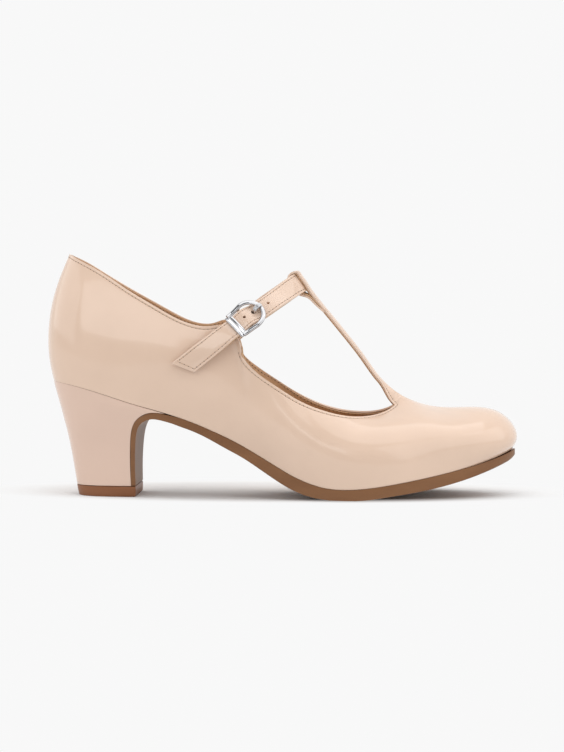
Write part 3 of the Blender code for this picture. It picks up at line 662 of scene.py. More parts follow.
@dataclass(frozen=True)
class PatentLeather:
    """Nude leather under a clear glossy film."""

    name: str = "nude_patent"
    deep: tuple = (0.725, 0.536, 0.414)
    light: tuple = (0.758, 0.564, 0.438)
    roughness: float = 0.16
    coat: float = 0.5
    coat_roughness: float = 0.02
    waviness: float = 0.00045

    def make(self):
        """The material."""
        nodes = Nodes(self.name)
        nodes.set(Roughness=self.roughness, Specular_IOR_Level=0.28)
        nodes.set(Coat_Weight=self.coat, Coat_Roughness=self.coat_roughness, Coat_IOR=1.5)
        nodes.link(nodes.blend(nodes.noise(45.0), self.deep, self.light), "Base Color")
        nodes.bump(nodes.noise(2600.0, 1.0), 0.000004, 0.3)
        nodes.bump(nodes.noise(42.0, 1.5, (0.6, 1.0, 1.3)), self.waviness)
        return nodes.material


@dataclass(frozen=True)
class LiningLeather:
    """Matt tan leather with a fine grain."""

    name: str = "tan_lining"
    deep: tuple = (0.560, 0.345, 0.190)
    light: tuple = (0.630, 0.400, 0.230)

    def make(self):
        """The material."""
        nodes = Nodes(self.name)
        nodes.set(Roughness=0.62)
        nodes.link(nodes.blend(nodes.noise(140.0), self.deep, self.light), "Base Color")
        nodes.bump(nodes.cells(2200.0), 0.00004, 0.7)
        nodes.bump(nodes.noise(500.0), 0.00005, 0.6)
        return nodes.material


@dataclass(frozen=True)
class Resin:
    """Satin moulded resin with faint flow marks."""

    name: str
    deep: tuple
    light: tuple
    roughness: float = 0.5

    def make(self):
        """The material."""
        nodes = Nodes(self.name)
        nodes.set(Roughness=self.roughness, Specular_IOR_Level=0.3, Coat_Weight=0.08, Coat_Roughness=0.3)
        nodes.link(nodes.blend(nodes.noise(60.0, 4.0, (0.35, 1.0, 1.6)), self.deep, self.light), "Base Color")
        nodes.bump(nodes.noise(1500.0, 2.0), 0.00003, 0.6)
        nodes.bump(nodes.noise(120.0), 0.00008, 0.5)
        return nodes.material


@dataclass(frozen=True)
class PolishedMetal:
    """Bright plated metal with faint polishing marks."""

    name: str = "polished_metal"

    def make(self):
        """The material."""
        nodes = Nodes(self.name)
        nodes.set(Metallic=1.0)
        nodes.set(Base_Color=(0.56, 0.56, 0.575, 1))
        worn = nodes.blend(nodes.noise(900.0, 4.0), (0.05,) * 3, (0.12,) * 3)
        nodes.link(worn, "Roughness")
        nodes.bump(nodes.noise(300.0, 1.0), 0.00001, 0.4)
        return nodes.material


@dataclass(frozen=True)
class Thread:
    """Twisted sewing thread, or the painted shade of a needle hole: a near-black colour standing in for the
    shadow inside it.
    """

    name: str
    colour: tuple
    light: tuple

    def make(self):
        """The material."""
        nodes = Nodes(self.name)
        nodes.set(Roughness=0.75)
        nodes.link(nodes.blend(nodes.noise(5000.0), self.colour, self.light), "Base Color")
        nodes.bump(nodes.noise(6000.0, 1.0), 0.00003)
        return nodes.material


class Finishes:
    """Every finish of the shoe, made once."""

    def __init__(self) -> None:
        """Makes the materials."""
        self.patent = PatentLeather().make()
        self.heel = PatentLeather("nude_heel_cover", (0.715, 0.520, 0.418), (0.740, 0.540, 0.434)).make()
        self.strap = PatentLeather("nude_strap", (0.700, 0.520, 0.405), (0.730, 0.545, 0.425)).make()
        self.lining = LiningLeather().make()
        self.edge = LiningLeather("lining_edge", (0.52, 0.33, 0.16), (0.60, 0.39, 0.20)).make()
        self.sole = Resin("brown_resin", (0.185, 0.080, 0.031), (0.240, 0.110, 0.045)).make()
        self.lift = Resin("brown_lift", (0.225, 0.085, 0.034), (0.260, 0.104, 0.043), 0.45).make()
        self.metal = PolishedMetal().make()
        self.thread = Thread("nude_thread", (0.46, 0.30, 0.20), (0.56, 0.38, 0.26)).make()
        # Painted shade: near-black dots stand in for the shadow inside the needle holes.
        self.hole_shade = Thread("needle_hole_shade", (0.075, 0.035, 0.018), (0.11, 0.055, 0.03)).make()


@dataclass
class Stitching:
    """A row of sewn stitches with dark dots of painted shade between them, standing in for the shadow in the
    needle's holes.
    """

    finishes: Finishes
    pitch: float = 2.0
    length: float = 1.35
    width: float = 0.42
    height: float = 0.26
    # Radius of the dark dots of painted needle-hole shade.
    hole_shade: float = 0.30

    def pattern(self, radii, segments: int, rings: int):
        """One small rounded body.

        Args:
            radii: its half sizes along, across and up.
            segments: faces round it.
            rings: faces from pole to pole.

        Returns:
            Its points and faces.
        """
        bpy.ops.object.select_all(action="DESELECT")
        bpy.ops.mesh.primitive_uv_sphere_add(segments=segments, ring_count=rings, radius=1.0)
        body = bpy.context.object
        points = np.array([vertex.co for vertex in body.data.vertices])[:, [2, 0, 1]] * radii
        faces = [tuple(face.vertices) for face in body.data.polygons]
        bpy.data.objects.remove(body, do_unlink=True)
        return points, faces

    def row(self, name: str, line, normals, pitch: float | None = None):
        """Sews along a line.

        Args:
            name: the piece's name.
            line: points on the leather, in shoe millimetres.
            normals: the leather's outward directions there.
            pitch: distance between stitches, or None for the usual one.

        Returns:
            The piece.
        """
        pitch = pitch or self.pitch
        run = lengths(line)
        count = max(2, int(run[-1] / pitch))
        stitch = self.pattern((self.length / 2 * pitch / self.pitch, self.width / 2, self.height / 2), 6, 5)
        # Flat dark dot between stitches: painted shade of a needle hole, not a real hole.
        shade_dot = self.pattern((self.hole_shade, self.hole_shade, 0.10), 6, 4)
        vertices, faces, kinds = [], [], []
        ahead = directions(line)
        rows = np.column_stack([line, normals, ahead])
        total = 0
        for index in range(count):
            for kind, (points, shape), shift in ((0, stitch, 0.5), (1, shade_dot, 1.0)):
                at = (index + shift) * run[-1] / count
                own = np.array([np.interp(at, run, rows[:, column]) for column in range(9)])
                up, along = unit(own[3:6]), unit(own[6:])
                across = unit(np.cross(up, along))
                along = np.cross(across, up)
                basis = np.stack([along, across, up])
                vertices.append(own[:3] + points @ basis)
                faces += [tuple(total + vertex for vertex in face) for face in shape]
                kinds += [kind] * len(shape)
                total += len(points)
        materials = [self.finishes.thread, self.finishes.hole_shade]
        piece = add_piece(name, np.concatenate(vertices), faces, materials)
        for face, kind in zip(piece.data.polygons, kinds):
            face.material_index = kind
        outward_normals(piece)
        smooth(piece, 80)
        return piece


def on_surface(piece, line, inwards=None):
    """Drops a line onto a piece.

    Args:
        piece: the object.
        line: points in shoe millimetres.
        inwards: None, or directions that the found normals have to oppose.

    Returns:
        Points on the piece in shoe millimetres, and its normals there.
    """
    tree = BVHTree.FromObject(piece, bpy.context.evaluated_depsgraph_get())
    points, normals = [], []
    for index, point in enumerate(place(line)):
        start = Vector(point)
        hit = None
        if inwards is not None:
            way = Vector(inwards[index])
            hit = tree.ray_cast(start - way * 0.004, way, 0.010)
        if hit is None or hit[0] is None:
            hit = tree.find_nearest(start)
        points.append(np.array(hit[0]) / MM + ORIGIN)
        normals.append(np.array(hit[1]))
    return np.array(points), unit(np.array(normals))


@dataclass
class Upper:
    """Vamp, quarters and T-bar: a patent shell over a lining."""

    last: LastShape
    finishes: Finishes
    leather: float = 0.95
    lining: float = 0.55
    lining_inset: float = 0.35
    columns_back: int = 380
    columns_bar: int = 30
    low_rows: int = 40
    near_top: tuple = (0.0, 0.35, 0.7, 1.05, 1.4, 1.75, 2.1, 2.6, 3.3, 4.4, 6.0)
    bar_width: float = 9.6
    bar_crown: float = 1.0
    return_crown: float = 1.6
    leaf_crown: float = 0.3
    bar_tilt: float = math.tan(math.radians(2.5))
    bar_fillet: float = 3.2
    bar_blend: float = 14.0
    leaf_over: tuple = (8.0, 7.0)
    tilt_over: tuple = (4.0, 12.0)
    bar_spacing: float = 0.9
    loop_centre: tuple = (127.2, 106.2)
    loop_slope: float = math.radians(57.5)
    loop_above: float = 3.0
    loop_below: float = 2.35
    loop_wrap: float = 2.0
    fold_back_end: tuple = (139.6, 91.6)
    strap_thick: float = 2.0
    strap_width: float = 10.4
    stitch_inset: float = 1.45
    fold_rise: float = 0.16
    stitch_sink: float = 0.10
    least_inset: float = 0.94

    def loop_profile(self):
        """The T-bar's outer face in the middle plane.

        Returns:
            Three stretches: up the bar, round over the strap, and back beneath it.
        """
        down = np.array([math.cos(self.loop_slope), -math.sin(self.loop_slope)])
        face = np.array([math.sin(self.loop_slope), math.cos(self.loop_slope)])
        centre = np.array(self.loop_centre)
        above, below = self.loop_above, self.loop_below
        side = self.strap_width / 2 + GAP - self.strap_thick / 2
        bar = [np.array(point) for point in BAR_PROFILE]
        bar.append(centre - down * side * 0.5 + face * above)
        fold = []
        for degrees in range(0, 181, 30):
            turn = math.radians(degrees)
            height = (above - below) / 2 + (above + below) / 2 * math.cos(turn)
            fold.append(centre - down * (side + self.loop_wrap * math.sin(turn)) + face * height)
        before = centre + down * side - face * below
        end = np.array(self.fold_back_end)
        tucked = before + down * 3.0 + face * 1.7
        back = [centre - face * below, before, tucked, before * 0.45 + end * 0.55 + face * 0.35, end]
        return bar, fold, back

    def bar_rows(self, base: np.ndarray, inset: float) -> np.ndarray:
        """Rows of the T-bar beyond the vamp.

        Args:
            base: the vamp's last row, which they follow on from.
            inset: how far inside the bar's edges they stay.

        Returns:
            Rows of points.
        """
        bar, fold, back = self.loop_profile()
        path = np.array(bar + fold + back)
        knots = lengths(path)
        fold_start, fold_end = knots[len(bar)], knots[len(bar) + len(fold) - 1]
        near = np.linspace(0.0, self.bar_fillet, 9)[1:]
        up = np.arange(self.bar_fillet, fold_start, self.bar_spacing)[1:]
        over = np.linspace(fold_start, fold_end, 28)
        down = np.linspace(fold_end, knots[-1], round((knots[-1] - fold_end) / self.bar_spacing))[1:]
        at = np.concatenate([near, up, over, down])
        line = spline(knots, path, at)
        slope = unit(spline(knots, path, np.minimum(at + 0.2, knots[-1])) - spline(knots, path, at - 0.2))
        faces = np.column_stack([slope[:, 1], -slope[:, 0]])
        turn_from, turn_to = knots[len(bar) - 3], knots[len(bar) - 1]
        turned = smooth_step((at - turn_from) / (turn_to - turn_from))[:, None]
        loop_face = np.array([math.sin(self.loop_slope), math.cos(self.loop_slope)])
        turning = faces * (1 - turned) + loop_face * turned
        faces = np.where(at[:, None] > turn_to, loop_face, turning)
        across = np.linspace(-1, 1, len(base))
        middle = base[len(base) // 2]
        rows = []
        for place_on, (x, z), face in zip(at, line, faces):
            rise = max(0.0, self.bar_fillet - place_on)
            flare = self.bar_fillet - math.sqrt(max(0.0, self.bar_fillet**2 - rise**2))
            half = self.bar_width / 2 + flare - inset
            blend = eased(place_on, 0.0, self.bar_blend)
            folded = eased(place_on, fold_start, fold_end - fold_start)
            leaf = eased(place_on - fold_end, *self.leaf_over)
            crown = self.bar_crown + (self.return_crown - self.bar_crown) * folded
            crown += (self.leaf_crown - self.return_crown) * leaf
            tilt = self.bar_tilt * eased(fold_start - place_on, *self.tilt_over)
            row = []
            for share, start in zip(across, base):
                drop = crown * share * share - tilt * share * half
                own_y = middle[1] * (1 - blend) + share * half
                own = np.array([x - face[0] * drop, own_y, z - face[1] * drop])
                follow = np.array([x, own_y, z]) + (start - middle) * (1, 0, 1)
                row.append(own * blend + follow * (1 - blend))
            rows.append(row)
        return np.array(rows)

    def sheet(self, inset: float):
        """The upper's outer face.

        Args:
            inset: how far it stops short of its free edges.

        Returns:
            Points, faces, and the free edge from the bar's inner corner, round by the heel, to
            its outer corner: its points and, for each, one a little further in.
        """
        first, final = self.last.at("medial_bar_foot"), self.last.at("lateral_bar_foot")
        turn = self.last.knots[-1]
        back = np.linspace(first, final + turn, self.columns_back, endpoint=False)
        bar = np.linspace(final, first, self.columns_bar, endpoint=False)
        u = np.concatenate([back, bar + turn])
        grid = self.last.ribs(u, self.near_top, self.low_rows, inset)
        grid[:, 0, 2] += SEAM
        columns, rows = grid.shape[:2]
        vertices = list(grid.reshape(-1, 3))
        faces = []
        for column in range(columns):
            other = (column + 1) % columns
            for row in range(rows - 1):
                here, there = column * rows + row, other * rows + row
                faces.append((here, there, there + 1, here + 1))
        foot = [column % columns for column in range(self.columns_back, columns + 1)]
        below = [column * rows + rows - 1 for column in foot]
        top = [column * rows + rows - 1 for column in range(self.columns_back + 1)]
        outer_edge, inner_edge, outer_next, inner_next = [], [], [], []
        for row in self.bar_rows(np.array([vertices[index] for index in below]), inset):
            level = list(range(len(vertices), len(vertices) + len(row)))
            vertices.extend(row)
            for side in range(len(row) - 1):
                faces.append((below[side], below[side + 1], level[side + 1], level[side]))
            outer_edge.append(level[0])
            inner_edge.append(level[-1])
            outer_next.append(level[4])
            inner_next.append(level[-5])
            below = level
        vertices = np.array(vertices)
        edge = vertices[inner_edge[::-1] + top + outer_edge]
        further_in = vertices[inner_next[::-1] + [index - 5 for index in top] + outer_next]
        return vertices, faces, (edge, further_in)

    def inset_line(self, edge, further_in, distance: float) -> np.ndarray:
        """A line at one distance inside the free edge.

        Args:
            edge: points of the edge.
            further_in: for each, a point of the leather further in.
            distance: how far in the line lies.

        Returns:
            Its points, half a millimetre apart.
        """
        ahead = directions(edge)
        inwards = further_in - edge
        inwards = unit(inwards - (inwards * ahead).sum(1, keepdims=True) * ahead)
        inwards = unit(evened(inwards, 4))
        line = edge + inwards * distance
        line = line[distances(line, edge) > self.least_inset * distance]
        return evened(resampled(line), 2)

    def shell(self, vertices, faces, edge):
        """The patent leather, folded over and sewn along its free edges.

        Args:
            vertices: points of its outer face.
            faces: that face's polygons.
            edge: points of the free edge.

        Returns:
            The piece.
        """
        piece = add_piece("upper_leather", vertices, faces, [self.finishes.patent])
        run = lengths(edge)
        dense = spline(np.arange(len(edge)), edge, np.linspace(0, len(edge) - 1, int(run[-1] / 0.15)))
        away = distances(vertices, dense)
        groove = np.exp(-(((away - self.stitch_inset) / 0.35) ** 2))
        fold = self.fold_rise * (1 - smooth_step((away - 0.9) / 0.8)) - self.stitch_sink * groove
        normals = np.array([vertex.normal for vertex in piece.data.vertices])
        moved = place(vertices + normals * (fold * (away < 4.0))[:, None])
        piece.data.vertices.foreach_set("co", moved.ravel())
        piece.data.update()
        modify(piece, "SOLIDIFY", thickness=self.leather * MM, offset=-1.0, use_even_offset=False)
        bevel(piece, 0.32, 3, 55)
        smooth(piece, 60)
        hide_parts("upper")
        return piece

    def inside(self):
        """The lining, a little short of the leather's edge.

        Returns:
            The piece.
        """
        vertices, faces, _ = self.sheet(self.lining_inset)
        piece = add_piece("upper_lining", vertices, faces, [self.finishes.lining])
        normals = np.array([vertex.normal for vertex in piece.data.vertices])
        piece.data.vertices.foreach_set("co", place(vertices - normals * (self.leather + 0.02)).ravel())
        piece.data.update()
        modify(piece, "SOLIDIFY", thickness=self.lining * MM, offset=-1.0, use_even_offset=False)
        bevel(piece, 0.18, 2, 55)
        smooth(piece, 60)
        return piece

    def build(self, stitching: Stitching) -> list:
        """All the upper's pieces.

        Args:
            stitching: the thread to sew with.

        Returns:
            The pieces.
        """
        vertices, faces, (edge, further_in) = self.sheet(0.0)
        leather = self.shell(vertices, faces, edge)
        lining = self.inside()
        line, normals = on_surface(leather, self.inset_line(edge, further_in, self.stitch_inset))
        sewn = stitching.row("collar_stitching", line, normals)
        inner, inner_normals = on_surface(lining, line - normals * 1.5, normals)
        inner, inner_normals = evened(inner, 5), unit(evened(inner_normals, 5))
        back = stitching.row("lining_stitching", inner, inner_normals)
        return [leather, lining, sewn, back]


def seat(x) -> np.ndarray:
    """Height of the upper's lower edge at x."""
    return profile(SEAT_PROFILE, x)


@dataclass
class Sole:
    """The resin sole, its flap on the heel's front, and the insole."""

    last: LastShape
    finishes: Finishes
    flap: float = 2.0
    waist: float = 3.55
    edge_rounding: float = 0.9
    rounding_over: tuple = (72.0, 50.0)
    close_over: tuple = (52.0, 12.0)
    merge_over: tuple = (45.0, 20.0)
    waist_from: float = 69.0
    face_points: int = 41
    overhang: float = 0.2
    flap_inset: float = 0.2
    sock_hollow: float = 0.5
    sock_rise: float = 0.15
    toe_over: tuple = (200.0, 34.0)
    toe_margin: float = 2.1
    tip_from: float = 230.0
    tip_length: float = 4.6
    tip_rise: float = 1.9
    insole_thick: float = 2.4
    insole_inset: float = 2.1
    flat: tuple = (143.0, 157.0)

    def ring(self, top, bottom, left: float, right: float, edge: float) -> np.ndarray:
        """A ring across the shoe.

        Args:
            top: x and z of the upper face.
            bottom: x and z of the underside.
            left: outer side's y.
            right: inner side's y.
            edge: how far the underside's edges are rounded up.

        Returns:
            The ring's points.
        """
        middle, half = (left + right) / 2, (right - left) / 2
        places = np.sin(np.linspace(-math.pi / 2, math.pi / 2, self.face_points))
        upper = [(top[0], middle + half * share, top[1]) for share in places]
        lower = []
        for share in places[::-1]:
            lift = edge * (max(0.0, abs(share) - 0.4) / 0.6) ** 4
            lower.append((bottom[0], middle + half * share * 0.992, bottom[1] + lift))
        return np.array(upper + lower)

    def outsole(self):
        """The sole from the toe to the foot of the heel's flap.

        Returns:
            The piece.
        """
        x, lateral, medial = self.last.halves(220, -self.overhang)
        heel = np.array(HEEL_RINGS)
        points = np.array(BREAST_LINE)
        knots = lengths(points)
        at = np.linspace(0, knots[-1], 70)
        line = spline(knots, points, at)
        slope = unit(spline(knots, points, at + 0.2) - spline(knots, points, at - 0.2))
        rings = []
        for (top_x, top_z), ahead, part in zip(line, slope, at / knots[-1]):
            thick = self.flap + (self.waist - self.flap) * part**2
            under = (top_x + ahead[1] * thick, top_z - ahead[0] * thick)
            close = (GAP - SEAM) * (1 - eased(top_x, *self.close_over))
            top = (top_x - ahead[1] * close, top_z + ahead[0] * close)
            blend = eased(top_x, *self.merge_over)
            half = float(np.interp(top_z, heel[:6, 3], heel[:6, 4])) - self.flap_inset
            left = -half * (1 - blend) + np.interp(top_x, x, lateral) * blend
            right = half * (1 - blend) + np.interp(top_x, x, medial) * blend
            rings.append(self.ring(top, under, left, right, 0.0))
        for place_x, left, right in zip(x, lateral, medial):
            if place_x < self.waist_from:
                continue
            place_x += self.toe_margin * eased(place_x, *self.toe_over)
            flat = self.flat[0] < place_x < self.flat[1]
            floor = 0.0 if flat else max(0.0, float(profile(SOLE_PROFILE, place_x)))
            tip = min(1.0, max(0.0, (place_x - self.tip_from) / self.tip_length))
            floor += self.tip_rise * (1 - math.sqrt(1 - tip**2))
            edge = self.edge_rounding * eased(place_x, *self.rounding_over)
            rings.append(self.ring((place_x, float(seat(place_x))), (place_x, floor), left, right, edge))
        piece = add_loft("sole", rings, self.finishes.sole)
        bevel(piece, 0.4, 3, 50)
        smooth(piece, 50)
        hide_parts("outsole")
        return piece

    def insole(self):
        """The insole with its sock, hollowed a little for the foot.

        Returns:
            The piece.
        """
        x, left, right = self.last.halves(120, self.insole_inset)
        rings = []
        for place_x, outer, inner in zip(x, left, right):
            low = float(seat(place_x)) + GAP
            ring = self.ring((place_x, low + self.insole_thick), (place_x, low), outer, inner, 0.0)
            upper = slice(0, self.face_points)
            share = (ring[upper, 1] - (outer + inner) / 2) / max(1e-6, (inner - outer) / 2)
            ring[upper, 2] -= self.sock_hollow * (1 - share**2) - self.sock_rise
            rings.append(ring)
        piece = add_loft("insole_sock", rings, self.finishes.lining)
        bevel(piece, 0.4, 2, 50)
        smooth(piece, 50)
        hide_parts("insole")
        return piece


@dataclass
class Heel:
    """The covered block heel and the lift it stands on."""

    last: LastShape
    finishes: Finishes
    side_points: int = 44
    front_points: int = 15
    inset: float = 0.2
    round_below: float = 0.55
    lift_height: float = 5.2

    def ring(self, back, front, half: float, top_share: float, outline) -> np.ndarray:
        """One ring, round at the back and flat at the front.

        Args:
            back: x and z at the back.
            front: x and z at the front.
            half: half its width.
            top_share: how far it already follows the sole's outline.
            outline: the outline's x, outer y and inner y.

        Returns:
            The ring's points.
        """
        side = (1 - np.cos(np.linspace(0, math.pi / 2, self.side_points)))[1:]
        width = (1 - (1 - side) ** 3) ** 0.4
        x = back[0] + (front[0] - back[0]) * side
        outline_x, lateral, medial = outline
        sole_left = np.interp(x, outline_x, lateral) + self.inset
        sole_right = np.interp(x, outline_x, medial) - self.inset
        left = -half * width * (1 - top_share) + sole_left * top_share
        right = half * width * (1 - top_share) + sole_right * top_share
        front_y = np.linspace(left[-1], right[-1], self.front_points + 2)[1:-1]
        ring_x = np.concatenate([[back[0]], x, np.full(self.front_points, front[0]), x[::-1]])
        ring_y = np.concatenate([[0.0], left, front_y, right[::-1]])
        run = (ring_x - back[0]) / (front[0] - back[0])
        level = back[1] + (front[1] - back[1]) * run
        chord = seat(back[0]) + (seat(front[0]) - seat(back[0])) * run
        return np.column_stack([ring_x, ring_y, level + (seat(ring_x) - chord) * top_share])

    def block(self):
        """The heel in its leather cover.

        Returns:
            The piece.
        """
        outline = self.last.halves(160, 0.0)
        rows = np.array(HEEL_RINGS)
        count = 60
        fine = spline(np.arange(len(rows)), rows, np.linspace(0, len(rows) - 1, count))
        rings = []
        for index, (back_x, back_z, front_x, front_z, half) in enumerate(fine):
            rise = index / (count - 1)
            share = max(0.0, (rise - self.round_below) / (1 - self.round_below)) ** 1.5
            rings.append(self.ring((back_x, back_z), (front_x, front_z), half, share, outline))
        piece = add_loft("heel_block", rings, self.finishes.heel)
        bevel(piece, 0.45, 3, 50)
        smooth(piece, 50)
        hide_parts("heel")
        return piece

    def lift(self):
        """The lift under the heel.

        Returns:
            The piece.
        """
        outline = self.last.halves(160, 0.0)
        levels = [
            (0.0, 16.2, 45.7, 15.3),
            (0.5, 15.9, 46.1, 15.7),
            (2.8, 15.4, 46.2, 15.8),
            (self.lift_height, 15.0, 46.2, 15.9),
        ]
        rings = [self.ring((back, z), (front, z), half, 0.0, outline) for z, back, front, half in levels]
        piece = add_loft("heel_lift", rings, self.finishes.lift)
        bevel(piece, 0.3, 2, 50)
        smooth(piece, 50)
        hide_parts("top_piece")
        return piece


def buckle_point(along: float, across: float, height: float) -> np.ndarray:
    """A point near the buckle.

    Args:
        along: distance along the strap from the keeper.
        across: distance across it, to its lower edge.
        height: distance out from its middle plane.

    Returns:
        The point in shoe millimetres.
    """
    ahead = unit(BUCKLE_ALONG)
    face = square(BUCKLE_FACE, ahead)
    return KEEPER + ahead * along + np.cross(ahead, face) * across + face * height


@dataclass
class AnkleStrap:
    """The strap from the inner quarter through the T-bar and the buckle."""

    finishes: Finishes
    width: float = 10.4
    leather: float = 1.25
    lining: float = 0.75
    skew: float = 3.3
    hump: float = 1.9
    centre_bar_at: float = 7.6
    under_buckle: tuple = (-2.0, 0.5, 3.0, 5.3, 7.6, 10.0, 12.5, 15.0, 18.0, 20.5)
    holes: tuple = ((-0.2, 0.75), (6.8, 0.75), (21.4, 0.75), (12.4, 1.25))
    stitch_inset: float = 1.2
    crown: float = 0.16
    stitch_sink: float = 0.10
    stitch_pitch: float = 2.3

    def line(self, count: int) -> tuple:
        """The strap's middle line.

        Args:
            count: how many points.

        Returns:
            Points and the ways the outer face looks, free end first.
        """
        rows = [list(row) for row in STRAP_FREE]
        for along in self.under_buckle:
            height = self.hump * math.exp(-(((along - self.centre_bar_at) / 4.0) ** 2))
            rows.append([*buckle_point(along, 0.0, height), *unit(BUCKLE_FACE)])
        rows += [list(row) for row in STRAP_INSTEP]
        rows = np.array(rows)
        knots = lengths(rows[:, :3])
        fine = spline(knots, rows, np.linspace(0, knots[-1], count))
        return fine[:, :3], fine[:, 3:]

    def layer(self, name: str, low: float, high: float, inset: float, material):
        """One layer of the strap.

        Args:
            name: the piece's name.
            low: its underside's height from the middle plane.
            high: its upper side's height.
            inset: how far inside the strap's edges.
            material: its finish.

        Returns:
            The piece.
        """
        path, faces = self.line(260)
        half = self.width / 2 - inset
        side = np.linspace(-half, half, 15)
        from_seam = np.abs(side) - half + self.stitch_inset - inset
        crown = self.crown * (1 - (side / half) ** 2) - self.stitch_sink * np.exp(-((from_seam / 0.4) ** 2))
        top = np.column_stack([side, high + crown * (high > 0)])
        bottom = np.column_stack([side[::-1], np.full(len(side), low)])
        rings = sweep(path, faces, np.vstack([top, bottom]))
        ahead = directions(path)
        reach = np.linalg.norm(path - path[0], axis=1)
        across = (np.vstack([top, bottom])[:, :1]) / half
        for index in np.flatnonzero(reach < 3 * self.skew):
            share = 1 - reach[index] / (3 * self.skew)
            rings[index] += ahead[index] * (across * self.skew + inset) * share
        piece = add_loft(name, rings, material)
        bevel(piece, 0.28, 2, 55)
        self.punch(piece)
        smooth(piece, 50)
        return piece

    def punch(self, piece) -> None:
        """Cuts the holes through a layer."""
        for at, radius in self.holes:
            bpy.ops.object.select_all(action="DESELECT")
            bpy.ops.mesh.primitive_cylinder_add(vertices=20, radius=radius * MM, depth=12 * MM)
            cutter = bpy.context.object
            face = square(BUCKLE_FACE, unit(BUCKLE_ALONG))
            turn = Vector((0, 0, 1)).rotation_difference(Vector(face)).to_matrix().to_4x4()
            turn.translation = Vector(place(buckle_point(at, HOLE_SHIFT, 0.0)))
            cutter.matrix_world = turn
            bpy.context.view_layer.update()
            modify(piece, "BOOLEAN", object=cutter, operation="DIFFERENCE", solver="EXACT")
            bpy.data.objects.remove(cutter, do_unlink=True)

    def seam(self) -> np.ndarray:
        """The sewn line: down one edge, across the slanted end and back along the other."""
        path, faces = self.line(400)
        ahead = directions(path)
        run = lengths(path)
        offset = self.width / 2 - self.stitch_inset
        sides = []
        for sign in (-1, 1):
            keep = run > self.skew * sign * offset / (self.width / 2) + self.stitch_inset + 0.4
            rows = []
            for point, way, face in zip(path[keep], ahead[keep], faces[keep]):
                face = square(face, way)
                rows.append(point + np.cross(way, face) * offset * sign + face * self.leather)
            sides.append(np.array(rows))
        return np.concatenate([sides[0][::-1], sides[1]])

    def build(self, stitching: Stitching) -> list:
        """All the strap's pieces.

        Args:
            stitching: the thread to sew with.

        Returns:
            The pieces.
        """
        split = self.lining - 1.0
        leather = self.layer("strap_leather", split + 0.02, 1.0, 0.0, self.finishes.strap)
        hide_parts("ankle_strap")
        lining = self.layer("strap_lining", -1.0, split, 0.18, self.finishes.edge)
        line, normals = on_surface(leather, resampled(self.seam()))
        sewn = stitching.row("strap_stitching", line, normals, self.stitch_pitch)
        under, under_normals = on_surface(lining, line - normals * 2.4)
        back = stitching.row("strap_back_stitching", under, under_normals, self.stitch_pitch)
        return [leather, lining, sewn, back]


